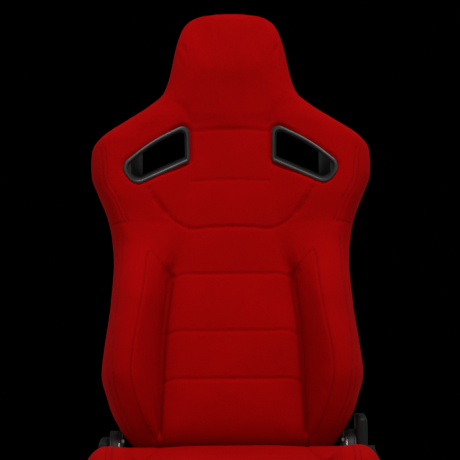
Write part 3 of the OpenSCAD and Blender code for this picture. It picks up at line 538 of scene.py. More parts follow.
def slot_line(inset, steps=10):
    """The slot's rounded outline in the row's X and Z about the pivot, moved in by inset, anticlockwise."""
    count = len(SLOT_CORNERS)
    moved = []
    for i, p in enumerate(SLOT_CORNERS):
        a = p - SLOT_CORNERS[i - 1]
        b = SLOT_CORNERS[(i + 1) % count] - p
        a, b = a / np.linalg.norm(a), b / np.linalg.norm(b)
        moved.append(p + inset * (b - a) / (a[0] * b[1] - a[1] * b[0]))
    line = []
    for i, p in enumerate(moved):
        radius = max(SLOT_RADII[i] - inset * 0.5, LEAST_RADIUS)
        a, b = moved[i - 1] - p, moved[(i + 1) % count] - p
        a, b = a / np.linalg.norm(a), b / np.linalg.norm(b)
        half = math.acos(float(a @ b)) / 2
        middle = p + (a + b) / np.linalg.norm(a + b) * radius / math.sin(half)
        start = p + a * radius / math.tan(half) - middle
        end = p + b * radius / math.tan(half) - middle
        first = math.atan2(start[1], start[0])
        turn = (math.atan2(end[1], end[0]) - first + math.pi) % (2 * math.pi) - math.pi
        for k in range(steps + 1):
            angle = first + turn * k / steps
            line.append(middle + radius * np.array([math.cos(angle), math.sin(angle)]))
    return np.array(line)


def on_wing(flat, depth):
    """Points of the row's X and Z about the pivot, put on the turned face of the wing, depth behind it."""
    x, height = flat[:, 0], flat[:, 1]
    y = -PAD_FRONT - (x - WING_START) * WING_RISE + np.asarray(depth) / math.cos(WING_TURN)
    v = (height + y * SIN) / COS
    return back_to_row(np.column_stack([x, y, v]))


def slot_tool(inset, side):
    """A closed prism along the row's Y that cuts one slot, with the slot's outline moved in by inset."""
    x, z = (slot_line(inset) * np.array([side, 1])).T
    rings = [np.column_stack([x, np.full(len(x), PIVOT_Y + y), PIVOT_Z + z]) * MM for y in SLOT_TOOL_Y]
    return loft("slot_tool", rings, caps=())


def backrest_seams():
    """Every seam of the backrest cover as (line, width, depth, shade), in metres and the row frame."""
    seams = []
    for v in CHANNELS:
        style = "chest_channel" if v > CHEST_FOOT else "lumbar_channel"
        seams += sewn(style, on_front(channel_half(v)))
    seams += sewn("chest_edge", on_front(CHEST_SEAM))
    seams += sewn("dimple", on_front(CHEST_DIMPLE))
    seams += sewn("lumbar_crease", on_front(LUMBAR_CREASE))
    seams += sewn("leaf", on_front(LEAF_SEAM))
    for line in (SIDE_SEAM_HIGH, SIDE_SEAM_LOW):
        for offset in (-TWIN, TWIN):
            seams += sewn("topstitch", on_front(beside(line, offset)))
    seams += sewn("cross", on_front(SIDE_SEAM_CROSS))
    return seams


def between(values, limits):
    """Whether each value lies between the two limits."""
    return (values > limits[0]) & (values < limits[1])


def tuck_round_slot(obj, side):
    """Draws the fabric in under the flange of a slot frame."""
    rim = on_wing(resampled(np.vstack([slot_line(0), slot_line(0)[:1]]), 2), 0) * np.array([side, 1, 1])
    mesh = obj.data
    co = coordinates(mesh)
    local = row_to_back(co)
    in_field = between(local[:, 0] * side, TUCK_X) & between(local[:, 2], TUCK_V)
    near = np.nonzero(in_field & (local[:, 1] < TUCK_FRONT))[0]
    tree = point_tree(rim)
    middle = slot_line(0).mean(0)
    push = []
    for c in co[near]:
        _, index, distance = tree.find(c)
        flat = np.array([c[0] * side / MM, c[2] / MM - PIVOT_Z])
        edge = np.array([rim[index][0] * side / MM, rim[index][2] / MM - PIVOT_Z])
        inside = np.linalg.norm(flat - middle) < np.linalg.norm(edge - middle)
        push.append(TUCK_DEPTH if inside else TUCK_DEPTH * math.exp(-((distance / TUCK_FADE) ** 2)))
    co[near] += np.array(push)[:, None] * np.array([0, COS, -SIN])
    set_coordinates(mesh, co)


def make_back_cover():
    """The sewn cover of the whole backrest, from one shoulder and side to the other and over the head."""
    rings = [back_to_row(backrest_ring(v)) for v in backrest_rows()]
    cover = loft("back_cover", rings, BACK_CAPS, cap_rise=(0, HEAD_DOME))
    seams = backrest_seams()
    co = coordinates(cover.data)
    x, y, v = row_to_back(co).T
    held = near_seams(seams, co)
    held |= y > -smooth(BACK_FRONT, v) - HELD_BACK
    held |= np.abs(x) > smooth(HALF_WIDTH, v) - HELD_SIDE
    held |= (v < HELD_FOOT) | (v > HELD_TOP)
    held |= between(np.abs(x), HELD_SLOT_X) & between(v, HELD_SLOT_V)
    inflate(cover, held)
    subdivide(cover)
    for line, width, depth, shade in seams:
        groove(cover, line, width, depth, shade)
    for side in (1, -1):
        tuck_round_slot(cover, side)
    for side in (1, -1):
        cut(cover, slot_tool(SLOT_CUT, side))
    for node in ("center_foam", "back_bolster_left", "back_bolster_right", "shoulder_foam", "head_pad"):
        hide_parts(node)
    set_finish(cover, "seat_fabric")
    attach(cover, "backrest")
    return cover


# ---- stitching ---------------------------------------------------------------------------

STITCH_LENGTH = 3.9 * MM
STITCH_PITCH = 5.6 * MM
THREAD_R = 0.5 * MM
THREAD_SIDES = 6
# Rings of one stitch: how far along it they lie, their size, and their height above the cover in thread radii
STITCH_SHAPE = [(-0.5, 0.25, -0.3), (-0.36, 0.85, 0.35), (0, 1, 0.6), (0.36, 0.85, 0.35), (0.5, 0.25, -0.3)]
LEAF_STITCHED = 8  # the leaf seam is stitched as far as this many of its points
LEAF_ROW = -3.2
CROSS_ROW = 3
STITCH_FOOT = 32  # no thread lies lower than this on the backrest, where the cover turns under


def stitches(name, cover, lines, body):
    """A row of thread stitches along each line, laid on the surface of the cover."""
    tree = BVHTree.FromPolygons(
        [tuple(c) for c in coordinates(cover.data)], [tuple(p.vertices) for p in cover.data.polygons]
    )
    vertices, faces = [], []
    for line in lines:
        path = resampled(line, STITCH_PITCH)
        for a, b in zip(path[:-1], path[1:]):
            place, normal = [np.array(found) for found in tree.find_nearest(Vector((a + b) / 2))[:2]]
            along = (b - a) / np.linalg.norm(b - a)
            along -= normal * (along @ normal)
            along /= np.linalg.norm(along)
            across = np.cross(normal, along)
            base = len(vertices)
            for run, size, lift in STITCH_SHAPE:
                middle = place + along * run * STITCH_LENGTH + normal * lift * THREAD_R
                for k in range(THREAD_SIDES):
                    turn = 2 * math.pi * k / THREAD_SIDES
                    spoke = across * math.cos(turn) + normal * math.sin(turn)
                    vertices.append(middle + size * THREAD_R * spoke)
            last = base + (len(STITCH_SHAPE) - 1) * THREAD_SIDES
            for ring in range(base, last, THREAD_SIDES):
                for k in range(THREAD_SIDES):
                    p, q = ring + k, ring + (k + 1) % THREAD_SIDES
                    faces.append((p, q, q + THREAD_SIDES, p + THREAD_SIDES))
            faces.append(tuple(base + k for k in reversed(range(THREAD_SIDES))))
            faces.append(tuple(last + k for k in range(THREAD_SIDES)))
    rows = new_object(name, new_mesh(name, vertices, faces))
    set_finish(rows, "seat_fabric")
    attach(rows, body)
    return rows


def beside(line, offset):
    """A (x, v) seam line moved sideways by offset in the plane of the front view."""
    flat = rounded_line(line, 3.0)
    run = np.gradient(flat, axis=0)
    run /= np.linalg.norm(run, axis=1, keepdims=True)
    return [tuple(p) for p in flat + offset * np.stack([-run[:, 1], run[:, 0]], axis=1)]


def make_back_stitching(cover):
    """Every row of stitches on the backrest."""
    stitched = (
        (LEAF_SEAM[:LEAF_STITCHED], (LEAF_ROW,)),
        (SIDE_SEAM_HIGH, (TWIN, -TWIN)),
        (SIDE_SEAM_LOW, (TWIN, -TWIN)),
        (SIDE_SEAM_CROSS, (CROSS_ROW,)),
    )
    lines = []
    for line, offsets in stitched:
        for offset in offsets:
            row = [point for point in beside(line, offset) if point[1] > STITCH_FOOT]
            lines += both_sides(on_front(row))
    return stitches("back_stitching", cover, lines, "backrest")


# ---- seat cover --------------------------------------------------------------------------

SEAT_HALF_W = 254
SEAT_FLOOR = 105.5
NOSE_FLOOR = 75
NOSE_Y = -320
NOSE_ROLL = 32
REAR_Y = 145
REAR_ROLL = 15
SKIRT_IN = 232.6
SKIRT_WALL = 10
MEMBER_TOP = 127.5
NOSE_BACK = -291
SEAT_PITCH = 6.0
SEAT_CAPS = (0.95, 0.8, 0.55, 0.25)
NOSE_DOME = 3 * MM
HELD_LOW = 132 * MM  # the seat cover is held down below this height
HELD_REAR = 132 * MM  # and behind this place
SEAT_CREASE = [(-320, 160), (-150, 160), (0, 152), (90, 142), (145, 137)]
SEAT_TOP = [
    (-320, 136), (-317, 156), (-309, 176), (-290, 192), (-265, 200), (-225, 203), (-150, 196), (-60, 187),
    (40, 180), (125, 177), (138, 176.5), (143, 174), (145, 168),
]
THIGH_RIDGE = [
    (-320, 164), (-317, 188), (-308, 211), (-290, 227), (-262, 237), (-235, 240), (-200, 237), (-150, 226),
    (-110, 210), (-70, 195), (-40, 187), (0, 184), (50, 180.5), (90, 178.5), (125, 177), (138, 176.5),
    (143, 174), (145, 168),
]
SEAT_CREASE_IN = [(-320, 6), (-110, 6), (-30, 2), (60, 1), (145, 0.5)]
SEAT_FOOT = [(-320, 86), (-312, 78), (-290, 69), (145, 69)]
SEAT_STEPS = [10, 5, 4, 7, 5, 4, 5, 4, 5, 4, 3, 2, 2, 3, 2, 3, 12]
SEAT_TOP_POINTS = 13  # points of the section on the top and side; the rest are straight below
SEAT_CHANNELS = [66, -24, -114, -204]
NOSE_CHANNEL = -268
SEAT_FEATURE = {"crease": 3, "leaf": 6, "side": 8}
CREASE_END = -40
SEAT_ROWS = (-306, -46)  # where the thigh bolsters' stitches begin and end


def seat_features(y):
    """The points that shape half of one section of the seat cover, from mid-top round to mid-bottom."""
    crease, top, ridge = (float(smooth(t, y)) for t in (SEAT_CREASE, SEAT_TOP, THIGH_RIDGE))
    crease_in = float(smooth(SEAT_CREASE_IN, y))
    foot = float(smooth(SEAT_FOOT, y))
    in_nose = y < NOSE_BACK
    inner = foot if in_nose else MEMBER_TOP
    floor = NOSE_FLOOR if in_nose else SEAT_FLOOR
    rise = ridge - top
    roll = rise * 0.1
    w = SEAT_HALF_W
    return [
        (0, top + 2.5), (crease * 0.62, top + 2), (crease - 13, top), (crease, top - crease_in),
        (crease + 10, top + rise * 0.45), (crease + 25, top + rise * 0.86), (crease + 48, ridge),
        (w - 27, ridge - 3), (w - 11, ridge - 14 - roll), (w - 2, ridge - 35 - roll),
        (w, (ridge + foot) / 2 - 14), (w - 2, foot + 8), (w - 7, foot), (SKIRT_IN, foot), (SKIRT_IN, inner),
        (SKIRT_IN - SKIRT_WALL, inner), (SKIRT_IN - SKIRT_WALL, floor), (0, floor),
    ]


def seat_ring(y):
    """One closed ring of the seat cover at y, in millimetres of the row frame."""
    features = seat_features(y)
    last = SEAT_TOP_POINTS - 1
    top = spline(features[:SEAT_TOP_POINTS], SEAT_STEPS[:last])
    corners = [np.array(p, float) for p in features[last:]]
    under = [
        a + (b - a) * k / count
        for a, b, count in zip(corners[:-1], corners[1:], SEAT_STEPS[last:])
        for k in range(1, count + 1)
    ]
    half = np.concatenate([top, under])
    ring = np.concatenate([half, half[-2:0:-1] * np.array([-1, 1])])
    return np.column_stack([ring[:, 0], np.full(len(ring), y), ring[:, 1]])


def seat_rows():
    """Places of the rings along the seat, closer together where the nose and the rear edge roll over."""
    nose = NOSE_Y + NOSE_ROLL * (1 - np.sin(np.linspace(0, math.pi / 2, 12)))
    even = np.arange(NOSE_Y + NOSE_ROLL + SEAT_PITCH, REAR_Y - REAR_ROLL, SEAT_PITCH)
    rear = REAR_Y - REAR_ROLL * (1 - np.sin(np.linspace(0, math.pi / 2, 7)))
    return np.concatenate([nose[::-1], even, rear])


def seat_column(name, y_low, y_high, shift=0):
    """The line that one feature of the seat's section makes along the seat, in metres."""
    column = sum(SEAT_STEPS[: SEAT_FEATURE[name]]) + shift
    line = np.array([seat_ring(y)[column] for y in np.arange(y_low, y_high, SEAT_PITCH)])
    return resampled(line * MM, 2 * MM)


def seat_crossing(y):
    """A sewn channel across the seat at y, from the middle to the crease, in metres."""
    half = seat_ring(y)[: sum(SEAT_STEPS[: SEAT_FEATURE["crease"]]) + 1]
    return resampled(half * MM, 2 * MM)


def seat_seams():
    """Every seam of the seat cover as (line, width, depth, shade), in metres and the row frame."""
    seams = []
    for y in SEAT_CHANNELS:
        seams += sewn("seat_channel", seat_crossing(y))
    seams += sewn("nose_channel", seat_crossing(NOSE_CHANNEL))
    seams += sewn("thigh_crease", seat_column("crease", NOSE_Y + 9, CREASE_END))
    seams += sewn("rear_crease", seat_column("crease", CREASE_END + 2, REAR_Y - 1))
    for name in ("leaf", "side"):
        for shift in (-1, 1):
            seams += sewn("thigh_topstitch", seat_column(name, NOSE_Y + 8, CREASE_END, shift))
    return seams


def make_seat_cover():
    """The sewn cover of the seat: centre panel with channels, thigh bolsters and nose."""
    rings = [seat_ring(y) * MM for y in seat_rows()]
    cover = loft("seat_cover", rings, SEAT_CAPS, cap_rise=(NOSE_DOME, 0))
    seams = seat_seams()
    co = coordinates(cover.data)
    held = near_seams(seams, co)
    held |= (co[:, 2] < HELD_LOW) | (co[:, 1] > HELD_REAR)
    inflate(cover, held)
    subdivide(cover)
    for line, width, depth, shade in seams:
        groove(cover, line, width, depth, shade)
    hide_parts("cushion_center", "thigh_bolster_left", "thigh_bolster_right")
    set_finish(cover, "seat_fabric")
    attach(cover, "seat_base")
    return cover


def make_seat_stitching(cover):
    """Every row of stitches on the thigh bolsters."""
    lines = []
    for name in ("leaf", "side"):
        for shift in (-1, 1):
            lines += both_sides(seat_column(name, *SEAT_ROWS, shift))
    return stitches("seat_stitching", cover, lines, "seat_base")


# ---- back shell --------------------------------------------------------------------------

SHELL_FOOT = 72
SHELL_TOP = 847
SHELL_REACH = [
    (72, 36), (150, 42), (300, 46), (550, 46), (690, 42), (800, 36), (828, 29), (840, 18), (847, 3),
]
SHELL_WALL = 3
SHELL_IN = 3.5  # the shell is this much narrower than the cover on each side
SHELL_GAP = 0.4  # from the cover's back face to the shell's edge
SHELL_PITCH = 8.0
SHELL_TOP_ROWS = 10
# Half of the shell's section, as shares of its half width and its reach, and the steps between its points
SHELL_SECTION = [(1, 0), (1, 0.45), (0.965, 0.72), (0.88, 0.9), (0.55, 1), (0, 1.01)]
SHELL_STEPS = [4, 5, 6, 14, 20, 20, 14, 6, 5, 4]
SHELL_SLOT = -0.3

# The lowered field inside the shell's raised border
FIELD_BORDER = 48
FIELD_V = (112, 640)
FIELD_SLOPE = 10
FIELD_DEPTH = 2.2


def shell_ring(v):
    """One section of the shell's outer face at height v, in the backrest's axes."""
    width = float(smooth(HALF_WIDTH, v)) - SHELL_IN
    front = -float(smooth(BACK_FRONT, v)) + SHELL_GAP
    reach = float(smooth(SHELL_REACH, v))
    across = SHELL_SECTION + [(-x, y) for x, y in SHELL_SECTION[-2::-1]]
    line = spline([(x * width, front + y * reach) for x, y in across], SHELL_STEPS)
    return np.column_stack([line, np.full(len(line), v)])


def grid(name, rows):
    """An open surface over rows of points in metres."""
    rows = np.array(rows)
    count, cols = rows.shape[:2]
    faces = [
        (i * cols + j, i * cols + j + 1, (i + 1) * cols + j + 1, (i + 1) * cols + j)
        for i in range(count - 1) for j in range(cols - 1)
    ]
    return new_object(name, new_mesh(name, rows.reshape(-1, 3), faces))


def make_back_shell():
    """The hard moulded back: a thin wall with a raised border and a lowered field."""
    even = np.arange(SHELL_FOOT, HEAD_ROLL, SHELL_PITCH)
    turn = np.linspace(0, math.pi / 2, SHELL_TOP_ROWS + 1)[1:]
    over = HEAD_ROLL + (SHELL_TOP - HEAD_ROLL) * np.sin(turn)
    rings = [shell_ring(v) for v in np.concatenate([even, over])]
    field = []
    for ring in rings:
        v = ring[0, 2]
        border = float(smooth(HALF_WIDTH, v)) - FIELD_BORDER
        inside = np.clip((border - np.abs(ring[:, 0])) / FIELD_SLOPE, 0, 1)
        inside *= np.clip((v - FIELD_V[0]) / FIELD_SLOPE, 0, 1)
        inside *= np.clip((FIELD_V[1] - v) / FIELD_SLOPE, 0, 1)
        inside = inside * inside * (3 - 2 * inside)
        lowered = ring.copy()
        lowered[:, 1] -= FIELD_DEPTH * inside
        field.append(back_to_row(lowered))
    shell = grid("back_shell", field)
    wall = shell.modifiers.new("wall", "SOLIDIFY")
    wall.thickness = SHELL_WALL * MM
    wall.offset = -1
    apply_modifiers(shell)
    for side in (1, -1):
        cut(shell, slot_tool(SHELL_SLOT, side))
    shell.data.shade_smooth()
    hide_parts("rear_shell")
    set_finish(shell, "shell_plastic")
    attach(shell, "backrest")
    return shell


# ---- slot frames -------------------------------------------------------------------------

# The frame's section as (inset from the slot's outline, depth behind the fabric)
FRAME_PROFILE = [
    (1.4, 5), (0.9, 1.8), (0.9, -0.8), (1.9, -2.3), (3.7, -3.0), (5.5, -2.9), (6.9, -1.9), (7.7, 0.2),
    (8.6, 3), (9.9, 5),
]


def make_slot_frame(side):
    """The moulded frame round one harness slot, with a rolled face and a lip that turns into the slot."""
    name = "slot_frame_left" if side > 0 else "slot_frame_right"
    rings = np.array([on_wing(slot_line(inset, 12), depth) for inset, depth in FRAME_PROFILE])
    rings[..., 0] *= side
    rows, cols = rings.shape[:2]
    faces = []
    for i in range(rows):
        for j in range(cols):
            a, b = i * cols, ((i + 1) % rows) * cols
            faces.append((a + j, a + (j + 1) % cols, b + (j + 1) % cols, b + j))
    mesh = new_mesh(name, rings.reshape(-1, 3), faces)
    outward_normals(mesh)
    piece = new_object(name, mesh)
    subdivide(piece)
    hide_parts(name.replace("slot_frame", "front_bezel"))
    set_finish(piece, "bezel_plastic")
    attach(piece, "backrest")
    return piece


# ---- recliner covers and edges of steel parts --------------------------------------------

COVER_CORNER = 9
COVER_LEAN_FRONT = 14 * MM  # how far the front and the back edge lean in from the cover's foot to its top
COVER_LEAN_BACK = 6 * MM
COVER_CAPS = (0.9, 0.6, 0.3)
# The rolled edge as (share of the way out, inset)
COVER_ROLL = [(0, 0), (0.6, 0), (0.72, 0.4), (0.84, 1.6), (0.93, 3.6), (0.98, 6.0), (1, 9)]

# The radius for the edges of each kind of plate or rail, by the start of its name
EDGE_ROUNDING = {
    "recliner_lever": 3.0, "recliner_bracket": 0.8, "recliner_housing": 1.2, "back_arm": 0.8,
    "side_member": 0.6, "floor_rail": 0.4, "slide_rail": 0.4, "seat_pan": 0.5, "rear_bezel": 1.0,
    "bar_hangers": 0.4, "rail_lock": 0.4,
}
SHARP_EDGE = math.radians(40)
SAME_POINT = 0.01 * MM


def rounded_outline(corners, radius, steps=6):
    """A closed outline through the corners, each rounded to the radius."""
    line = []
    for i, corner in enumerate(np.array(corners, float)):
        a = np.array(corners[i - 1]) - corner
        b = np.array(corners[(i + 1) % len(corners)]) - corner
        a, b = a / np.linalg.norm(a), b / np.linalg.norm(b)
        half = math.acos(float(a @ b)) / 2
        reach = radius / math.tan(half)
        for t in np.linspace(0, 1, steps + 1):
            line.append(corner + a * reach * (1 - t) ** 2 + b * reach * t**2)
    return np.array(line)


def make_recliner_cover(name):
    """The moulded cover over one recliner, with a rolled outer edge."""
    (x_low, y_low, z_low), (x_high, y_high, z_high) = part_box(name)
    side = 1 if x_low + x_high > 0 else -1
    inner, outer = (x_low, x_high) if side > 0 else (x_high, x_low)
    top_front, top_back = y_low + COVER_LEAN_FRONT, y_high - COVER_LEAN_BACK
    corners = [(y_low, z_low), (y_high, z_low), (top_back, z_high), (top_front, z_high)]
    outline = rounded_outline(corners, COVER_CORNER * MM)
    middle = outline.mean(0)
    rings = []
    for along, inset in COVER_ROLL:
        reach = np.linalg.norm(outline - middle, axis=1, keepdims=True)
        flat = middle + (outline - middle) * (1 - inset * MM / reach)
        rings.append(np.column_stack([np.full(len(flat), inner + (outer - inner) * along), flat]))
    cover = loft(name.replace("recliner_cover", "moulded_cover"), rings, COVER_CAPS)
    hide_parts(name)
    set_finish(cover, "cover_plastic")
    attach(cover, "seat_base")
    return cover


def round_edges():
    """Rounds the hard edges of the plates, rails and mouldings that stay as CAD made them."""
    for name, node in frame["nodes"].items():
        width = next((w for start, w in EDGE_ROUNDING.items() if name.startswith(start)), None)
        if width is None:
            continue
        weld = node.modifiers.new("weld", "WELD")
        weld.merge_threshold = SAME_POINT
        bevel = node.modifiers.new("edges", "BEVEL")
        bevel.width = width * MM
        bevel.segments = 3
        bevel.limit_method = "ANGLE"
        bevel.angle_limit = SHARP_EDGE


# ---- materials ---------------------------------------------------------------------------

WEAVE_PITCH = 1.3 * MM

# Colours are sRGB from 0 to 255. Plastics: dark, light, roughness, grain scale, grain depth in metres, shine
PLASTICS = {
    "shell_plastic": ((20, 20, 21), (27, 27, 28), 0.46, 1100.0, 0.00022, 0.5),
    "bezel_plastic": ((38, 37, 36), (46, 45, 44), 0.34, 1900.0, 0.00006, 0.5),
    "tunnel_plastic": ((10, 10, 10), (15, 15, 15), 0.55, 1500.0, 0.0001, 0.3),
    "cover_plastic": ((11, 11, 12), (17, 17, 18), 0.5, 1100.0, 0.0002, 0.25),
}
# Paints: dark, light, roughness
PAINTS = {
    "rail_paint": ((30, 30, 31), (44, 43, 42), 0.34),
    "frame_paint": ((16, 16, 17), (25, 24, 24), 0.42),
}
# Metals: dark, light, roughness, scale of the streaks along X, Y and Z
METALS = {
    "zinc_steel": ((168, 166, 158), (196, 194, 186), 0.26, (1, 14, 1)),
    "fastener_zinc": ((186, 184, 172), (214, 212, 202), 0.2, (14, 1, 1)),
    "spring_steel": ((126, 126, 128), (158, 158, 160), 0.24, (14, 1, 1)),
}


def linear(r, g, b):
    """An sRGB colour from 0 to 255 as the linear colour that Blender uses."""
    return [((c / 255 + 0.055) / 1.055) ** 2.4 if c > 10 else c / 255 / 12.92 for c in (r, g, b)] + [1]


class Nodes:
    """A short way to wire the nodes of a material or of the world."""

    def __init__(self, owner):
        owner.use_nodes = True
        self.owner = owner
        self.tree = owner.node_tree

    def add(self, kind, settings=(), **inputs):
        """A new node with its settings and its inputs."""
        node = self.tree.nodes.new(kind)
        for key, value in dict(settings).items():
            setattr(node, key, value)
        for key, value in inputs.items():
            self.put(node.inputs[key], value)
        return node

    def put(self, socket, value):
        """Links the value to the socket, or sets the socket to it."""
        if isinstance(value, bpy.types.NodeSocket):
            self.tree.links.new(value, socket)
        else:
            socket.default_value = value

    def math(self, operation, *values):
        node = self.add("ShaderNodeMath", {"operation": operation})
        for i, value in enumerate(values):
            self.put(node.inputs[i], value)
        return node.outputs[0]

    def mix(self, factor, a, b):
        node = self.add("ShaderNodeMix", {"data_type": "RGBA"})
        self.put(node.inputs[0], factor)
        self.put(node.inputs[6], a)
        self.put(node.inputs[7], b)
        return node.outputs[2]

    def ramp(self, value, low, high):
        """The value mapped so that low gives 0 and high gives 1, and no further."""
        node = self.add("ShaderNodeMapRange")
        self.put(node.inputs["Value"], value)
        self.put(node.inputs["From Min"], low)
        self.put(node.inputs["From Max"], high)
        return node.outputs[0]

    def noise(self, vector, scale, detail=3.0):
        node = self.add("ShaderNodeTexNoise", Scale=scale, Detail=detail)
        self.put(node.inputs["Vector"], vector)
        return node.outputs["Fac"]

    def bump(self, height, distance, strength=1.0, below=None):
        node = self.add("ShaderNodeBump", Distance=distance, Strength=strength)
        self.put(node.inputs["Height"], height)
        if below is not None:
            self.put(node.inputs["Normal"], below)
        return node.outputs[0]

    def place(self):
        return self.add("ShaderNodeTexCoord").outputs["Object"]

    def finish(self, **values):
        """Sets the material's shader and returns the material."""
        shader = self.tree.nodes["Principled BSDF"]
        for key, value in values.items():
            self.put(shader.inputs[key.replace("_", " ")], value)
        return self.owner


def new_material(name):
    return Nodes(bpy.data.materials.new(name))


def fabric():
    """Red knitted upholstery fabric: fine weave with a slight nap, a soft sheen, and painted shade that darkens
    its colour along the sewn grooves.
    """
    n = new_material("seat_fabric")
    place = n.place()
    uv = n.add("ShaderNodeTexCoord").outputs["UV"]
    axes = n.add("ShaderNodeSeparateXYZ")
    n.put(axes.inputs[0], uv)
    pitch = 2 * math.pi / WEAVE_PITCH
    warp = n.math("SINE", n.math("MULTIPLY", axes.outputs[0], pitch))
    weft = n.math("SINE", n.math("MULTIPLY", axes.outputs[1], pitch))
    weave = n.math("MULTIPLY", warp, weft)
    nap = n.noise(place, 1400.0, 2.0)
    tuft = n.noise(place, 260.0, 3.0)
    cloud = n.noise(place, 9.0, 4.0)
    seam = n.add("ShaderNodeAttribute", {"attribute_name": "seam"}).outputs["Fac"]
    fuzz = n.math("ADD", nap, n.math("MULTIPLY", tuft, 0.7))
    height = n.math("ADD", n.math("MULTIPLY", weave, 0.35), fuzz)
    base = n.mix(n.ramp(cloud, 0.3, 0.7), linear(168, 2, 3), linear(178, 3, 5))
    speckled = n.mix(n.math("MULTIPLY", n.ramp(tuft, 0.42, 0.62), 0.12), base, linear(132, 2, 4))
    threaded = n.mix(n.math("MULTIPLY", n.ramp(weave, 0.2, 1.0), 0.16), speckled, linear(204, 8, 10))
    # painted shade: the colour is darkened where the "seam" attribute is set, in place of the shade in the sewn
    # grooves
    colour_with_painted_shade = n.mix(n.math("MULTIPLY", seam, 0.55), threaded, linear(58, 0, 2))
    return n.finish(
        Base_Color=colour_with_painted_shade,
        Roughness=n.math("ADD", 0.82, n.math("MULTIPLY", cloud, 0.12)),
        Specular_IOR_Level=0.03,
        Sheen_Weight=0.06,
        Sheen_Roughness=0.4,
        Sheen_Tint=linear(255, 30, 40),
        Normal=n.bump(height, 0.35 * MM, 0.55, n.bump(cloud, 2 * MM, 0.35)),
    )


def thread():
    """Red polyester sewing thread, a little darker than the fabric."""
    n = new_material("sewing_thread")
    place = n.place()
    strand = n.noise(place, 2500.0, 1.0)
    colour = n.mix(strand, linear(122, 2, 3), linear(150, 4, 6))
    bump = n.bump(strand, 0.1 * MM, 0.6)
    return n.finish(Base_Color=colour, Roughness=0.6, Specular_IOR_Level=0.12, Normal=bump)


def moulded_plastic(name, dark, light, roughness, grain, depth, shine):
    """Satin black moulding with a fine leather-like grain and faint handling marks."""
    n = new_material(name)
    place = n.place()
    cells = n.add("ShaderNodeTexVoronoi", {"feature": "F1"}, Scale=grain)
    n.put(cells.inputs["Vector"], place)
    mottle = n.noise(place, 40.0, 5.0)
    rub = n.noise(place, 7.0, 6.0)
    return n.finish(
        Base_Color=n.mix(n.ramp(mottle, 0.3, 0.75), linear(*dark), linear(*light)),
        Roughness=n.math("ADD", roughness, n.math("MULTIPLY", n.ramp(rub, 0.45, 0.75), 0.12)),
        Specular_IOR_Level=shine,
        Normal=n.bump(cells.outputs[0], depth, 0.5),
    )


def painted_steel(name, dark, light, roughness):
    """Powder-coated steel: slight orange peel, dust in patches."""
    n = new_material(name)
    place = n.place()
    peel = n.noise(place, 420.0, 2.0)
    dust = n.noise(place, 14.0, 6.0)
    return n.finish(
        Base_Color=n.mix(n.ramp(dust, 0.4, 0.8), linear(*dark), linear(*light)),
        Specular_IOR_Level=0.35,
        Roughness=n.math("ADD", roughness, n.math("MULTIPLY", dust, 0.15)),
        Normal=n.bump(peel, 0.12 * MM, 0.5),
    )


def bright_metal(name, dark, light, roughness, stretch):
    """Plated or drawn steel, with streaks along its length and soft blotches."""
    n = new_material(name)
    mapping = n.add("ShaderNodeMapping", Scale=stretch)
    n.put(mapping.inputs["Vector"], n.place())
    streak = n.noise(mapping.outputs[0], 90.0, 6.0)
    blotch = n.noise(n.place(), 22.0, 5.0)
    return n.finish(
        Base_Color=n.mix(n.ramp(blotch, 0.3, 0.7), linear(*dark), linear(*light)),
        Metallic=1.0,
        Roughness=n.math("ADD", roughness, n.math("MULTIPLY", streak, 0.22)),
        Normal=n.bump(streak, 0.08 * MM, 0.4),
    )


def nylon():
    """Off-white machined nylon."""
    n = new_material("glide_nylon")
    place = n.place()
    cloud = n.noise(place, 60.0, 4.0)
    return n.finish(
        Base_Color=n.mix(cloud, linear(196, 192, 178), linear(222, 219, 207)),
        Roughness=0.48,
        Subsurface_Weight=0.08,
        Normal=n.bump(n.noise(place, 900.0, 2.0), 0.08 * MM, 0.4),
    )


def make_materials():
    """One material for each slot of the record."""
    made = {"seat_fabric": fabric()}
    for maker, table in ((moulded_plastic, PLASTICS), (painted_steel, PAINTS), (bright_metal, METALS)):
        for name, values in table.items():
            made[name] = maker(name, *values)
    made["glide_nylon"] = nylon()
    return made


def paint(materials, made):
    """Gives every CAD node and every new piece the material of its slot."""
    slots = {part["node"]: part["material_slot"] for part in frame["record"]["subparts"]}
    for name, node in frame["nodes"].items():
        node.data.materials.clear()
        node.data.materials.append(materials[slots[name]])
    for piece in made:
        piece.data.materials.clear()
        piece.data.materials.append(materials[piece["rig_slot"]])


# ---- floor, light and camera -------------------------------------------------------------

FLOOR_R = 0.94
WORLD_LIGHT = 0.26
WORLD_GREY = 0.86
DARK_FROM, DARK_TO = 0.86, 0.93  # how squarely a ray has to point backwards to meet the dark backdrop

# Each lamp: its place, the width of its disk and its power
LAMPS = {
    "top": ((0.5, -2.0, 6.0), 2.6, 240),
    "key": ((-1.8, -2.8, 1.1), 1.6, 8),
    "fill": ((2.0, -2.8, 1.1), 1.6, 10),
    "rim_left": ((-2.2, 1.4, 1.8), 1.6, 6),
    "rim_right": ((2.2, 1.4, 1.8), 1.6, 6),
}
LAMP_AIM = Vector((0, 0.2, 0.55))

CAMERA_PLACE = (0, -3.8, 0.85)
CAMERA_LENS = 167.8
CAMERA_DOWN = math.radians(3.93)
CAMERA_ROLL = math.radians(0.48)


def make_floor():
    """A round pale floor under the seat."""
    bm = bmesh.new()
    bmesh.ops.create_circle(bm, cap_ends=True, radius=FLOOR_R, segments=128)
    mesh = bpy.data.meshes.new("floor")
    bm.to_mesh(mesh)
    bm.free()
    floor = new_object("floor", mesh)
    floor.location.z = CAD_BOX[0][2]
    n = new_material("floor_paper")
    cloud = n.noise(n.place(), 3.0)
    paper = n.finish(Base_Color=n.mix(cloud, linear(206, 205, 203), linear(214, 213, 211)), Roughness=0.85)
    floor.data.materials.append(paper)


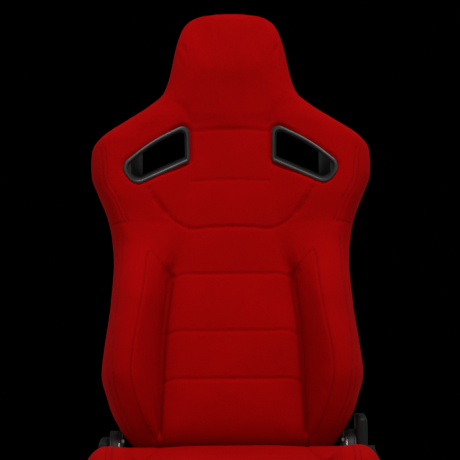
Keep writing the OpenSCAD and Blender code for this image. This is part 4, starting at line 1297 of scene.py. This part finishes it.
def make_world():
    """Soft even light all round; from the front the backdrop is black, and from elsewhere it is pale."""
    SCENE.world = bpy.data.worlds.new("studio")
    n = Nodes(SCENE.world)
    n.tree.nodes.clear()
    axes = n.add("ShaderNodeSeparateXYZ")
    n.put(axes.inputs[0], n.add("ShaderNodeTexCoord").outputs["Generated"])
    dark_side = n.add("ShaderNodeMapRange", {"interpolation_type": "SMOOTHSTEP"})
    for socket, value in zip(dark_side.inputs, (axes.outputs["Y"], DARK_FROM, DARK_TO)):
        n.put(socket, value)
    rays = n.add("ShaderNodeLightPath").outputs
    seen = n.math("MAXIMUM", rays["Is Camera Ray"], rays["Is Transmission Ray"])
    shown = n.math("MAXIMUM", seen, rays["Is Glossy Ray"])
    light = n.add("ShaderNodeBackground", Color=(WORLD_GREY, WORLD_GREY, WORLD_GREY, 1), Strength=WORLD_LIGHT)
    behind = n.add("ShaderNodeBackground", Color=(0, 0, 0, 1))
    backdrop = n.add("ShaderNodeMixShader")
    black = n.math("MULTIPLY", shown, dark_side.outputs[0])
    for socket, value in zip(backdrop.inputs, (black, light.outputs[0], behind.outputs[0])):
        n.put(socket, value)
    n.add("ShaderNodeOutputWorld", Surface=backdrop.outputs[0])


def make_lamps():
    """Soft round lamps: a large one high in front, and weak ones at the sides."""
    for name, (place, size, power) in LAMPS.items():
        lamp = bpy.data.lights.new(name, "AREA")
        lamp.shape = "DISK"
        lamp.size = size
        lamp.energy = power
        obj = bpy.data.objects.new(name, lamp)
        obj.location = place
        obj.rotation_euler = (LAMP_AIM - Vector(place)).to_track_quat("-Z", "Y").to_euler()
        SCENE.collection.objects.link(obj)


def make_camera():
    """A long lens in front of the seat, looking a little down and rolled by half a degree."""
    camera = bpy.data.cameras.new("camera")
    camera.lens = CAMERA_LENS
    obj = bpy.data.objects.new("camera", camera)
    obj.location = CAMERA_PLACE
    obj.rotation_euler = (math.pi / 2 - CAMERA_DOWN, CAMERA_ROLL, 0)
    SCENE.collection.objects.link(obj)
    SCENE.camera = obj


# ---- the scene ---------------------------------------------------------------------------

back_cover = make_back_cover()
seat_cover = make_seat_cover()
back_thread = make_back_stitching(back_cover)
seat_thread = make_seat_stitching(seat_cover)
back_shell = make_back_shell()
slot_frames = [make_slot_frame(side) for side in (1, -1)]
covers = [make_recliner_cover(name) for name in ("recliner_cover_left", "recliner_cover_right")]
round_edges()

materials = make_materials()
paint(materials, [back_cover, seat_cover, back_shell, *slot_frames, *covers])
sewing_thread = thread()
for stitching in (back_thread, seat_thread):
    stitching.data.materials.append(sewing_thread)

make_floor()
make_world()
make_lamps()
make_camera()
SCENE.view_settings.view_transform = "Standard"
